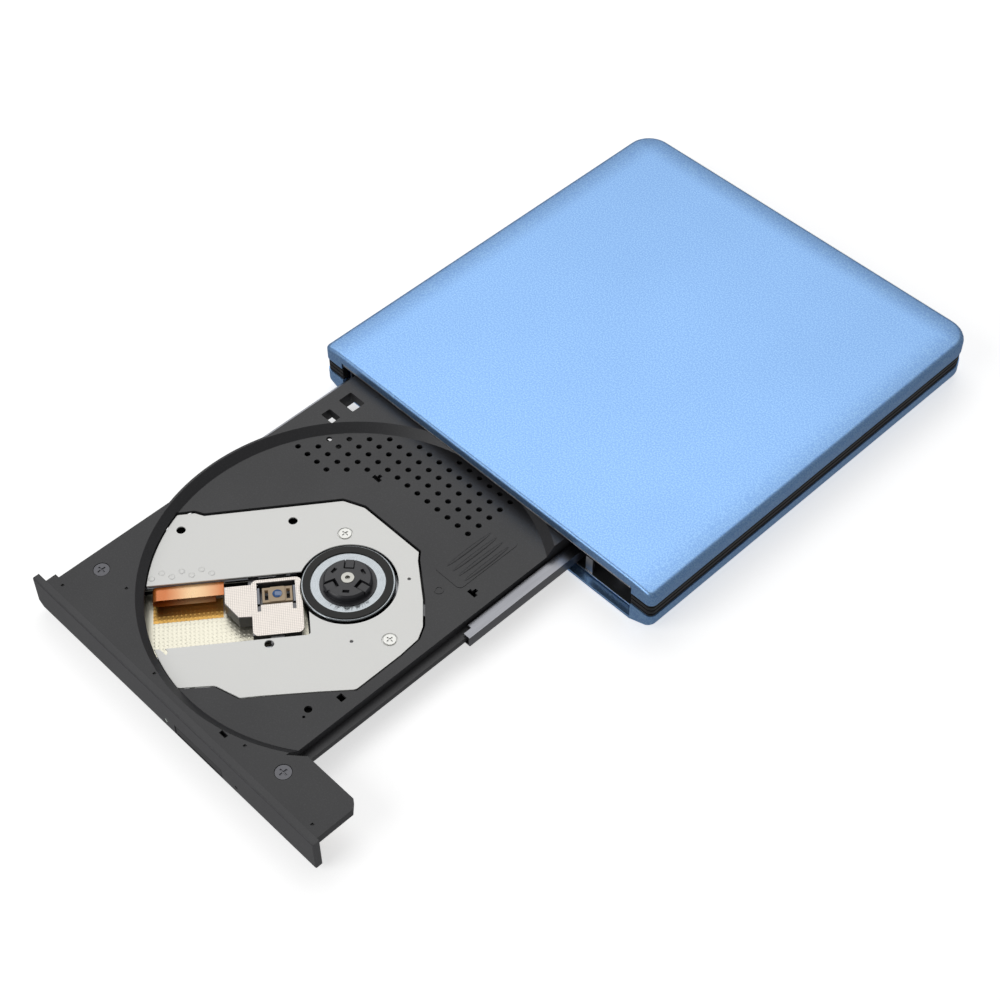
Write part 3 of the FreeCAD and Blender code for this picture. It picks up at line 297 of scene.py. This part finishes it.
# %% Bare metals
def bare(name, colour, rough, grain=0.5, stretch=None, depth=0.004, metal=1.0, tint=0.86):
    paint = Finish(name, colour, rough, metal=metal)
    streaks = paint.noise(grain, detail=3.0, stretch=stretch)
    cloud = paint.noise(9.0, detail=2.0)
    darker = tuple(c * tint for c in colour[:3]) + (1.0,)
    paint.vary(streaks * 0.5 + cloud * 0.5, darker)
    paint.dull(streaks, 0.14)
    paint.bump(streaks, depth, 0.4)
    return paint.material


plate_metal = bare("plate_metal", tone(253, 253, 250), 0.5, grain=0.35, metal=0.3, tint=0.97)
zinc_steel = bare("zinc_steel", tone(196, 198, 202), 0.34, stretch=(0.08, 1.0, 1.0))
rail_steel = bare("rail_steel", tone(146, 147, 152), 0.3, stretch=(1.0, 0.03, 1.0))
screw_steel = bare("screw_steel", tone(214, 214, 210), 0.3, grain=0.2)
dark_screw = bare("dark_screw", tone(104, 104, 108), 0.38, grain=0.2)
rod_steel = bare("rod_steel", tone(200, 203, 208), 0.16, grain=0.3)
cast_metal = bare("cast_metal", tone(128, 128, 130), 0.46, grain=0.8, depth=0.03)


def turned_metal(name, colour, rough, pitch):
    """Metal from a lathe: fine rings about the spindle."""
    paint = Finish(name, colour, rough, metal=1.0)
    rings = paint.from_spindle() / (pitch * MM)
    wave = rings.maths("FRACT", rings)
    paint.vary(wave * 0.5 + paint.noise(2.0) * 0.3, tuple(c * 0.6 for c in colour[:3]) + (1.0,))
    paint.dull(wave, 0.12)
    paint.bump(wave, 0.01, 0.5)
    return paint.material


rotor_metal = turned_metal("rotor_metal", tone(182, 188, 192), 0.24, 0.45)
bush_metal = bare("bush_metal", tone(182, 181, 175), 0.28, grain=0.2)
magnet_metal = bare("magnet_metal", tone(118, 120, 126), 0.3, grain=0.3)
solder = bare("solder", tone(208, 210, 214), 0.24, grain=0.2)
print("bare metals done")

# %% [markdown]
# The plate over the pickup is pressed from thin foil with a fine square weave rolled into it. Two
# sawtooth waves, one along the path and one across it, make the squares: a fraction of the place is
# compared with a narrow band. The Mapping node turns the pattern with the path.


# %% Woven foil
def woven_foil(name, colour, pitch, line=0.2):
    paint = Finish(name, colour, 0.3, metal=0.75)
    lines = []
    for axis in "XY":
        cells = paint.on_path(axis) / (pitch * MM)
        lines.append(cells.maths("FRACT", cells) < line)
    grid = lines[0].maths("MAXIMUM", *lines)
    paint.vary(grid, tuple(c * 0.72 for c in colour[:3]) + (1.0,))
    paint.bump(1 - grid, 0.02, 0.6)
    return paint.material


pickup_foil = woven_foil("pickup_foil", tone(238, 230, 222), 0.62)


# %% [markdown]
# The sheet under the tray shows bare metal only below the pickup's slot. Around it the sheet is painted
# black and not metallic: painted shade for the dark under the tray. An amber band below the flex is a
# painted reflection of the flex's orange. Both are masks on the path's own coordinates: a product of
# comparisons makes a rectangle.


# %% Sheet with painted shade and a painted reflection
def sheet_with_painted_light():
    paint = Finish("cover_sheet", tone(226, 222, 204), 0.3, metal=0.85)
    out, across = paint.on_path("X") / MM, paint.on_path("Y") / MM
    unshaded_part = (out > 13.0) * (across > -8.0) * (across < 19.0)
    # painted reflection: amber where the flex's orange mirrors in the sheet below it
    amber = (out > 38.0) * (out < 59.0) * (across > -4.0) * (across < 3.4)
    paint.colour = paint.vary(amber * 0.85, tone(226, 168, 48))
    # painted shade: black and not metallic outside the slot, where the sheet lies in the dark under the tray
    paint.vary(1 - unshaded_part, tone(16, 16, 17))
    paint.give("Metallic", unshaded_part * 0.85)
    paint.dull(paint.noise(0.6), 0.1)
    return paint.material


cover_sheet = sheet_with_painted_light()
print("foils and films done")


# %% [markdown]
# ## Boards, chips, flex, light and lens
# A circuit board is glass cloth under green lacquer: a slow noise in the green, and thin paler tracks
# where copper runs below it. The flex is copper behind clear amber film, so it looks like orange metal
# with a gloss coat. The lens is clear with a blue coating.


# %% Electronics and optics
def board_lacquer():
    paint = Finish("board_lacquer", tone(18, 84, 52), 0.3, Coat_Weight=0.3)
    tracks = paint.node("ShaderNodeTexBrick", {"offset": 0.5},
                        {"Vector": paint.place, "Scale": 260.0, "Mortar Size": 0.012, "Color1": (0, 0, 0, 1),
                         "Color2": (0, 0, 0, 1), "Mortar": (1, 1, 1, 1)})
    paint.vary(tracks * 0.6 + paint.noise(4.0) * 0.2, tone(70, 140, 92))
    paint.bump(tracks, 0.02, 0.5)
    return paint.material


def chip_epoxy():
    paint = Finish("chip_epoxy", tone(34, 34, 36), 0.5)
    grains = paint.noise(0.12)
    paint.vary(grains * 0.4, tone(62, 62, 66))
    paint.bump(grains, 0.006, 0.5)
    return paint.material


def amber_film():
    """Amber film over copper; a slow wave along the path paints the long soft gleams of a bowed strip into the
    colour, as painted highlights.
    """
    paint = Finish("amber_film", tone(216, 118, 42), 0.26, metal=0.4, Coat_Weight=0.6, Coat_Roughness=0.12)
    gleam_length, gleam_start = 10.5 * MM, 0.4
    cloud = paint.noise(5.0)
    phase = paint.on_path("X") * (math.pi / gleam_length) + gleam_start
    # painted highlight: the colour goes paler in long bands along the strip
    gleam = phase.maths("SINE", phase)
    paint.vary(gleam * 0.5 + cloud * 0.3 + 0.3, tone(255, 214, 160))
    paint.dull(cloud, 0.1)
    return paint.material


def lens_glass():
    paint = Finish("lens_glass", tone(70, 130, 196), 0.06, Coat_Weight=1.0, Coat_Roughness=0.03,
                   Specular_IOR_Level=0.8)
    rings = paint.noise(1.2, detail=1.0)
    paint.vary(rings, tone(26, 62, 120))
    return paint.material


def light_pipe():
    paint = Finish("light_pipe", tone(205, 212, 205), 0.22, Transmission_Weight=0.35)
    paint.vary(paint.noise(0.6) * 0.5, tone(168, 180, 170))
    return paint.material


board_green = board_lacquer()
chip_black = chip_epoxy()
flex_amber = amber_film()
lens_blue = lens_glass()
pipe_clear = light_pipe()
print(len(bpy.data.materials), "finishes in all")

# %% [markdown]
# ## From loose triangles to a finished surface
# A node of the frame comes as loose triangles with hard edges. A real edge is never that sharp: a mould
# or a press leaves it slightly round, and that thin round is what catches the light. So a copy is merged,
# flat triangles are dissolved into whole faces, and a small Bevel rounds the edges. Weighted normals then
# keep the big faces flat while the rounds shade smoothly. The copy takes the node's place and rides on
# its body.

# %% Finished copies
body_of = {node: body for body, members in frame["record"]["behaviour"]["bodies"].items() for node in members}


def in_scene(name, mesh, paint):
    """A new object that holds the mesh, with one material."""
    piece = bpy.data.objects.new(name, mesh)
    scene.collection.objects.link(piece)
    mesh.materials.clear()
    mesh.materials.append(paint)
    return piece


def settle(piece):
    """Make the piece's live modifiers part of a plain mesh."""
    held = list(piece.data.materials)
    now = bpy.context.evaluated_depsgraph_get()
    now.update()
    mesh = bpy.data.meshes.new_from_object(piece.evaluated_get(now), preserve_all_data_layers=True,
                                           depsgraph=now)
    piece.modifiers.clear()
    piece.data = mesh
    mesh.materials.clear()
    for paint in held:
        mesh.materials.append(paint)
    return piece


def rounded(piece, width, angle=32.0, segments=2):
    """Round every edge sharper than the angle by that width in millimetres, and even out the shading."""
    bevel = piece.modifiers.new("round", "BEVEL")
    bevel.width, bevel.segments = width * MM, segments
    bevel.limit_method, bevel.angle_limit = "ANGLE", math.radians(angle)
    bevel.use_clamp_overlap = True
    bevel.miter_outer = "MITER_ARC"
    for face in piece.data.polygons:
        face.use_smooth = True
    weighted = piece.modifiers.new("even", "WEIGHTED_NORMAL")
    weighted.keep_sharp = True
    return settle(piece)


def merged(node):
    """A merged copy of a node's mesh whose flat triangles are whole faces."""
    mesh = nodes[node].data.copy()
    work = bmesh.new()
    work.from_mesh(mesh)
    bmesh.ops.remove_doubles(work, verts=work.verts, dist=0.002 * MM)
    bmesh.ops.dissolve_limit(work, angle_limit=math.radians(0.2), verts=work.verts, edges=work.edges)
    work.to_mesh(mesh)
    work.free()
    return mesh


def take_place(piece, *stood_for, body=None):
    """Ride on the nodes' body and hide the nodes, so that the piece shows in their place."""
    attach(piece, body or body_of[stood_for[0]])
    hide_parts(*stood_for)
    return piece


def finished(node, paint, width=0.1):
    """The node's own shape, merged, rounded and painted, in its place."""
    piece = in_scene(f"{node}_finish", merged(node), paint)
    rounded(piece, width)
    return take_place(piece, node)


# %% [markdown]
# ## Pieces whose shape is already right
# Most pieces only need that finish. The table gives each node its material and the width of its rounds:
# about a tenth of a millimetre on pressed sheet, and a little more on mouldings.

# %% Nodes and their finishes
plain_pieces = {
    "bottom_shell": (blue_metal, 0.3), "mid_frame": (frame_plastic, 0.08),
    "rubber_feet": (foot_rubber, 0.1), "case_screws": (dark_screw, 0.06),
    "bridge_board": (board_green, 0.05), "bridge_chip": (chip_black, 0.08),
    "usb_socket": (zinc_steel, 0.05), "bridge_connector": (socket_plastic, 0.1),
    "drive_chassis": (zinc_steel, 0.08), "drive_cover": (zinc_steel, 0.08),
    "drive_screws": (screw_steel, 0.05), "guide_left": (frame_plastic, 0.08),
    "guide_right": (frame_plastic, 0.08), "main_board": (board_green, 0.05),
    "board_chips": (chip_black, 0.08), "drive_connector": (socket_plastic, 0.1),
    "latch_post": (rod_steel, 0.1), "eject_housing": (frame_plastic, 0.1),
    "eject_pusher": (holder_plastic, 0.1), "eject_spring": (rod_steel, 0.0),
    "rail_left": (rail_steel, 0.06), "rail_right": (rail_steel, 0.06), "wing_screws": (dark_screw, 0.06),
    "activity_light": (pipe_clear, 0.08), "eject_button": (button_plastic, 0.15),
    "tray_board": (board_green, 0.05), "eject_switch": (socket_plastic, 0.08),
    "latch_lever": (holder_plastic, 0.1), "latch_pin": (frame_plastic, 0.1),
    "latch_solenoid": (zinc_steel, 0.1), "plate_screws": (screw_steel, 0.06),
    "mechanism_frame": (cast_metal, 0.12), "frame_dampers": (foot_rubber, 0.15),
    "guide_rod_main": (rod_steel, 0.1), "guide_rod_sub": (rod_steel, 0.1),
    "sled_motor": (zinc_steel, 0.1), "spindle_bearing": (bush_metal, 0.06),
    "turntable": (rotor_metal, 0.08), "rubber_ring": (ring_rubber, 0.08), "hub": (hub_plastic, 0.08),
    "spindle_shaft": (bush_metal, 0.1), "hub_claw_1": (hub_plastic, 0.08),
    "hub_claw_2": (hub_plastic, 0.08), "hub_claw_3": (hub_plastic, 0.08),
    "pickup_base": (cast_metal, 0.1), "pickup_cover": (pickup_foil, 0.06),
    "drive_nut": (holder_plastic, 0.1), "pickup_magnets": (magnet_metal, 0.06),
    "lens_holder": (holder_plastic, 0.08), "lens": (lens_blue, 0.0), "bezel": (bezel_plastic, 0.08),
    "tray": (tray_plastic, 0.1), "mechanism_plate": (plate_metal, 0.06),
    "spindle_base": (zinc_steel, 0.06), "lead_screw": (rod_steel, 0.0),
    "tray_bottom_cover": (cover_sheet, 0.06),
}
for node, (paint, width) in plain_pieces.items():
    if width:
        finished(node, paint, width)
    else:
        mesh = merged(node)
        for face in mesh.polygons:
            face.use_smooth = True
        mesh.set_sharp_from_angle(angle=math.radians(35))
        take_place(in_scene(f"{node}_finish", mesh, paint), node)
print(len(plain_pieces), "pieces finished")

# %% [markdown]
# ## The crowned top
# The top is drawn from thin sheet, so it has no flat face that ends in an edge: it falls away slowly over
# its last eleven millimetres at both sides and the rear, and then rolls over into the upright wall. That
# is a stack of rings. Each ring is the case's plan pulled in a little more, and the height of each of its
# points depends on how far the point lies from a side. The front lip only has a small round, for the
# mouth is cut through it.

# %% Rings of the crowned top
shell_low, shell_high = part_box("top_shell")
crown_band, crown_drop, wall = 11.0 * MM, 1.0 * MM, 1.5 * MM
round_step, inner_rings = 15, 9     # degrees from ring to ring in the round, and rings inside it
side_round, lip_round = 2.0 * MM, 1.1 * MM
corner_front, corner_rear = 2.4 * MM, 9.0 * MM


def plan_ring(side, lip, steps=8):
    """Plan pulled in by side on three sides and by lip in front: points and their share of the round."""
    tiny = 0.3 * MM
    front, rear = max(corner_front, side + tiny), max(corner_rear, side + tiny)
    deep = max(corner_front, lip + tiny)
    left, right = shell_low.x + front, shell_high.x - front
    level = shell_low.x + crown_band + 2 * MM
    ring = [(left + (level - left) * k / steps, shell_low.y + lip, 0.0) for k in range(1, steps + 1)]
    ring += [(shell_low.x + shell_high.x - x, y, share) for x, y, share in reversed(ring)]
    corners = ((right, shell_low.y + deep, front - side, deep - lip, -90),
               (shell_high.x - rear, shell_high.y - rear, rear - side, rear - side, 0),
               (shell_low.x + rear, shell_high.y - rear, rear - side, rear - side, 90),
               (left, shell_low.y + deep, front - side, deep - lip, 180))
    for index, (x, y, wide, long, start) in enumerate(corners):
        for k in range(steps + 1):
            turn = math.radians(start + 90 * k / steps)
            share = {0: k / steps, 3: 1 - k / steps}.get(index, 1.0)
            ring.append((x + wide * math.cos(turn), y + long * math.sin(turn), share))
    return ring


def crown_height(x, y):
    """Height of the crown at that place, from its distance to the nearest side or rear corner."""
    beside, behind = min(x - shell_low.x, shell_high.x - x), shell_high.y - y
    inside = min(beside, behind)
    if beside < corner_rear and behind < corner_rear:
        inside = corner_rear - math.hypot(corner_rear - beside, corner_rear - behind)
    inside = min(max(inside, side_round), crown_band)
    return shell_high.z - crown_drop * (1 - inside / crown_band) ** 2


def stacked(name, rings, paint):
    """A closed mesh through rings that have the same number of points."""
    count = len(rings[0])
    faces = [tuple(range(count))[::-1], tuple(range((len(rings) - 1) * count, len(rings) * count))]
    for low in range(0, (len(rings) - 1) * count, count):
        for k in range(count):
            after = (k + 1) % count
            faces.append((low + k, low + after, low + count + after, low + count + k))
    mesh = bpy.data.meshes.new(name)
    mesh.from_pydata([point for ring in rings for point in ring], [], faces)
    return in_scene(name, mesh, paint)


def prism_of(name, side, low, high):
    ring = plan_ring(side, side)
    return stacked(name, [[(x, y, z) for x, y, _ in ring] for z in (low, high)], blue_metal)


def block(name, low, high):
    ring = [(low[0], low[1]), (high[0], low[1]), (high[0], high[1]), (low[0], high[1])]
    return stacked(name, [[(x, y, z) for x, y in ring] for z in (low[2], high[2])], blue_metal)


# %% Cut the mouth and the hollow
levels = [(side_round * (1 - math.cos(a)), lip_round * (1 - math.cos(a)), 1 - math.sin(a))
          for a in (math.radians(round_step * k) for k in range(90 // round_step + 1))]
levels += [(side_round + step * MM, lip_round + step * MM, 0.0) for step in range(1, inner_rings + 1)]
crown_rings = [[(x, y, shell_low.z) for x, y, _ in plan_ring(0.0, 0.0)]]
for side, lip, fall in levels:
    crown_rings.append([(x, y, crown_height(x, y) - fall * (lip_round + share * (side_round - lip_round)))
                        for x, y, share in plan_ring(side, lip)])
crown = stacked("top_shell_finish", crown_rings, blue_metal)
cutters = [
    prism_of("hollow", wall, shell_low.z - MM, shell_high.z - crown_drop - wall),
    prism_of("raised", crown_band, shell_low.z - MM, shell_high.z - wall),
    block("mouth", at(-0.9, 123.1, -2.5), at(128.9, 131.0, 1.6)),
]
for cutter in cutters:
    cut = crown.modifiers.new("cut", "BOOLEAN")
    cut.object, cut.operation, cut.solver = cutter, "DIFFERENCE", "EXACT"
settle(crown)
for cutter in cutters:
    bpy.data.objects.remove(cutter)
rounded(crown, 0.12, angle=50.0)
take_place(crown, "top_shell")
print("crowned top", len(crown.data.polygons), "faces")

# %% [markdown]
# ## Repeats grown by Geometry Nodes
# What repeats is grown rather than drawn: a tree gets a few named inputs, places copies of one small
# shape, makes them real and paints them. The result is turned into a plain mesh at once, so it rides on
# its body like any other piece. Trees that draw on the mechanism work in the path's own frame and are
# turned into place at the end.


# %% Trees with named inputs
def new_tree(name, **inputs):
    """A geometry tree, its input sockets by name, and the graph to fill it with."""
    tree = bpy.data.node_groups.new(name, "GeometryNodeTree")
    tree.interface.new_socket("Geometry", in_out="OUTPUT", socket_type="NodeSocketGeometry")
    for label, kind in {**inputs, "Turn": "Float", "Place": "Vector", "Material": "Material"}.items():
        tree.interface.new_socket(label, in_out="INPUT", socket_type=f"NodeSocket{kind}")
    entry = tree.nodes.new("NodeGroupInput")
    graph = Graph(tree)
    return graph, {socket.name: Field(graph, socket) for socket in entry.outputs if socket.name}


def close_tree(graph, ports, shape):
    """Turn and place the shape, make its instances real, paint it and send it out."""
    turn = graph.node("ShaderNodeCombineXYZ", None, {"Z": ports["Turn"]})
    placed = graph.node("GeometryNodeTransform", None,
                        {"Geometry": shape, "Translation": ports["Place"], "Rotation": turn})
    real = graph.node("GeometryNodeRealizeInstances", None, {0: placed})
    painted = graph.node("GeometryNodeSetMaterial", None, {"Geometry": real, "Material": ports["Material"]})
    graph.feed(graph.tree.nodes.new("NodeGroupOutput").inputs[0], painted)
    return graph.tree


def grown(name, tree, paint, node, turn=0.0, place=(0, 0, 0), **values):
    """A plain mesh grown by the tree, riding on the node's body."""
    piece = in_scene(name, bpy.data.meshes.new(name), paint)
    grower = piece.modifiers.new("grow", "NODES")
    grower.node_group = tree
    values.update(Turn=turn, Place=tuple(place), Material=paint)
    for item in tree.interface.items_tree:
        if item.in_out == "INPUT":
            grower[item.identifier] = values[item.name]
    settle(piece)
    for face in piece.data.polygons:
        face.use_smooth = True
    piece.data.set_sharp_from_angle(angle=math.radians(35))
    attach(piece, body_of[node])
    return piece


# %% [markdown]
# The first tree makes a staggered row: a line of points, every second one moved aside, and a squashed
# ball on each. It presses the dimples into the plate. With no stagger it lays out the contacts of the
# rear socket.

# %% Staggered rows
row_graph, row = new_tree("staggered_row", Count="Int", Step="Vector", Stagger="Vector", Radius="Float",
                          Squash="Vector")
line = row_graph.node("GeometryNodeMeshLine", None, {"Count": row["Count"], "Offset": row["Step"]})
index = row_graph.node("GeometryNodeInputIndex")
odd = row_graph.node("ShaderNodeMath", {"operation": "MODULO"}, {0: index, 1: 2.0})
aside = row_graph.node("ShaderNodeVectorMath", {"operation": "SCALE"}, {0: row["Stagger"], "Scale": odd})
moved = row_graph.node("GeometryNodeSetPosition", None, {"Geometry": line, "Offset": aside})
ball = row_graph.node("GeometryNodeMeshUVSphere", None,
                      {"Segments": 24, "Rings": 12, "Radius": row["Radius"]})
balls = row_graph.node("GeometryNodeInstanceOnPoints", None,
                       {"Points": moved, "Instance": ball, "Scale": row["Squash"]})
staggered_row = close_tree(row_graph, row, balls)
grown("plate_dimples", staggered_row, plate_metal, "mechanism_plate", turn=path_turn,
      place=on_path(58.6, -9.0, -2.92),
      Count=7, Step=(-3.0 * MM, 0, 0), Stagger=(0, -1.8 * MM, 0), Radius=1.05 * MM, Squash=(1, 1, 0.2))
grown("socket_contacts", staggered_row, bush_metal, "usb_socket", place=at(61.0, 279.0, -7.06),
      Count=4, Step=(2.0 * MM, 0, 0), Stagger=(0, 0, 0), Radius=0.5 * MM, Squash=(1.0, 3.2, 0.2))
grown("pad_ribs", staggered_row, tray_plastic, "tray", place=at(82.4, 102.0, -2.33),
      Count=4, Step=(2.6 * MM, 0, 0), Stagger=(0, 0, 0), Radius=9.6 * MM, Squash=(0.075, 1.0, 0.022))
print("dimples, contacts and ribs grown")

# %% [markdown]
# The sheet below the pickup is rolled with a diamond emboss. A grid of points carries four-sided pyramids
# so low that only their glint shows. The same idea, with random places, turns and sizes and a fixed seed,
# fills the bridge board with small parts.

# %% Diamond emboss and small parts
weave_graph, weave = new_tree("diamond_emboss", Size_X="Float", Size_Y="Float", Pitch="Float", Height="Float")
columns = weave_graph.node("ShaderNodeMath", {"operation": "DIVIDE"}, {0: weave["Size_X"], 1: weave["Pitch"]})
rows = weave_graph.node("ShaderNodeMath", {"operation": "DIVIDE"}, {0: weave["Size_Y"], 1: weave["Pitch"]})
grid = weave_graph.node("GeometryNodeMeshGrid", None, {"Size X": weave["Size_X"], "Size Y": weave["Size_Y"],
                                                       "Vertices X": columns, "Vertices Y": rows})
pyramid = weave_graph.node("GeometryNodeMeshCone", {"fill_type": "NONE"},
                           {"Vertices": 4, "Radius Bottom": weave["Pitch"] * 0.46, "Depth": weave["Height"]})
diamonds = weave_graph.node("GeometryNodeInstanceOnPoints", None, {"Points": grid, "Instance": pyramid})
diamond_emboss = close_tree(weave_graph, weave, diamonds)
grown("sheet_emboss", diamond_emboss, cover_sheet, "tray_bottom_cover", turn=path_turn,
      place=on_path(38.0, 5.6, -9.11), Size_X=41.0 * MM, Size_Y=23.0 * MM, Pitch=1.25 * MM, Height=0.16 * MM)

part_graph, part = new_tree("small_parts", Size_X="Float", Size_Y="Float", Density="Float", Seed="Int")
field = part_graph.node("GeometryNodeMeshGrid", None, {"Size X": part["Size_X"], "Size Y": part["Size_Y"],
                                                       "Vertices X": 2, "Vertices Y": 2})
spots = part_graph.node("GeometryNodeDistributePointsOnFaces", {"distribute_method": "POISSON"},
                        {"Mesh": field, "Distance Min": 2.4 * MM, "Density Max": part["Density"],
                         "Seed": part["Seed"]})
chip = part_graph.node("GeometryNodeMeshCube", None, {"Size": (1.6 * MM, 0.8 * MM, 0.6 * MM)})
quarter = part_graph.node("FunctionNodeRandomValue", {"data_type": "INT"},
                          {4: 0, 5: 3, "Seed": part["Seed"]}, out=2)
spin = part_graph.node("ShaderNodeCombineXYZ", None, {"Z": quarter * (math.pi / 2)})
grow_by = part_graph.node("FunctionNodeRandomValue", {"data_type": "FLOAT"},
                          {2: 0.6, 3: 1.2, "Seed": part["Seed"]}, out=1)
chips = part_graph.node("GeometryNodeInstanceOnPoints", None,
                        {"Points": spots, "Instance": chip, "Rotation": spin, "Scale": grow_by})
small_parts = close_tree(part_graph, part, chips)
grown("bridge_small_parts", small_parts, solder, "bridge_board", place=at(52.0, 273.0, -8.95),
      Size_X=44.0 * MM, Size_Y=7.0 * MM, Density=90000.0, Seed=7)
print("emboss and small parts grown")

# %% [markdown]
# The lead screw's thread is a helix with a thin round wire swept along it, three millimetres from turn to
# turn: one turn of the screw moves the pickup by that much.

# %% Thread of the lead screw
thread_graph, thread = new_tree("thread", Turns="Float", Radius="Float", Length="Float", Wire="Float")
helix = thread_graph.node("GeometryNodeCurveSpiral", None,
                          {"Resolution": 24, "Rotations": thread["Turns"], "Start Radius": thread["Radius"],
                           "End Radius": thread["Radius"], "Height": thread["Length"]})
wire = thread_graph.node("GeometryNodeCurvePrimitiveCircle", None,
                         {"Resolution": 6, "Radius": thread["Wire"]})
swept = thread_graph.node("GeometryNodeCurveToMesh", None, {"Curve": helix, "Profile Curve": wire})
lying = thread_graph.node("GeometryNodeTransform", None, {"Geometry": swept, "Rotation": (0, math.pi / 2, 0)})
screw_thread = close_tree(thread_graph, thread, lying)
grown("lead_thread", screw_thread, rod_steel, "lead_screw", turn=path_turn, place=on_path(17.6, -12.0, -6.2),
      Turns=16.0, Radius=0.86 * MM, Length=48.0 * MM, Wire=0.16 * MM)
print("thread grown")

# %% [markdown]
# ## The flat flexes
# A flex is a thin strip with a fold in it. The pickup's flex hangs from the tray and its fold rolls along
# as the pickup moves, and the tray's flex does the same under the tray. A strip can't be rolled by one
# joint; here each keeps its node's shape, smooth shaded and painted, riding on its body.

# %% Flexes
for node, joint, axis, anchor, keep in (
    ("pickup_flex", "pickup_slide", slide_axis, on_path(78.3, -1.4, -5.5), 0.12),
    ("tray_flex", "tray_slide", Vector((0, 1, 0)), at(66.0, 200.1, -10.6), 0.35),
):
    mesh = merged(node)
    for face in mesh.polygons:
        face.use_smooth = True
    mesh.set_sharp_from_angle(angle=math.radians(35))
    strip = in_scene(f"{node}_finish", mesh, flex_amber)
    take_place(strip, node)
    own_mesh(strip)
print("flexes done")

# %% [markdown]
# ## Stage, light and camera
# The object stands on a plain white floor that gives off a little light of its own. A metal case shows
# what it mirrors, so the light is mostly one wide soft panel above it and to the left: that panel is what
# the top and the bright plate reflect. A weaker panel in front and an even sky fill the shadows. Mirrored
# rays pass the floor by, as on a table with black cards beside the object: that keeps the upright walls
# darker than the top.


# %% Stage and lights
def stage_floor():
    half = 4.0
    mesh = bpy.data.meshes.new("floor")
    corners = [(-half, -half, 0), (half, -half, 0), (half, half, 0), (-half, half, 0)]
    mesh.from_pydata(corners, [], [(0, 1, 2, 3)])
    paint = Finish("floor_white", (0.8, 0.8, 0.8, 1.0), 0.9, Emission_Strength=0.62)
    paint.give("Emission Color", (1.0, 1.0, 1.0, 1.0))
    floor = in_scene("floor", mesh, paint.material)
    floor.visible_glossy = False


def panel(name, place, size, power, target=(0, 0, 0.01)):
    """A soft square light that faces the target."""
    lamp = bpy.data.lights.new(name, "AREA")
    lamp.shape, lamp.size, lamp.size_y, lamp.energy = "RECTANGLE", size[0], size[1], power
    light = bpy.data.objects.new(name, lamp)
    light.location = place
    light.rotation_euler = (Vector(place) - Vector(target)).to_track_quat("Z", "Y").to_euler()
    scene.collection.objects.link(light)


stage_floor()
panel("wide_panel", (-0.72, 0.66, 1.5), (1.6, 1.4), 9.6)
panel("front_panel", (-0.35, -1.35, 1.0), (1.0, 1.0), 7.6)
sky = bpy.data.worlds.new("sky")
scene.world = sky
sky.use_nodes = True
background = sky.node_tree.nodes["Background"]
background.inputs["Color"].default_value = (1.0, 1.0, 1.0, 1.0)
background.inputs["Strength"].default_value = 0.22
scene.view_settings.view_transform = "Standard"

# %% [markdown]
# The camera looks down over the right front corner with a fairly long lens, which keeps the case's
# proportions.

# %% Camera
camera_data = bpy.data.cameras.new("camera")
camera_data.lens, camera_data.sensor_width = 71.01, 36.0
camera = bpy.data.objects.new("camera", camera_data)
camera.location = (0.294739, -0.292513, 0.479298)
camera.rotation_euler = [math.radians(a) for a in (40.19317, 0.24513, 45.64137)]
scene.collection.objects.link(camera)
scene.camera = camera
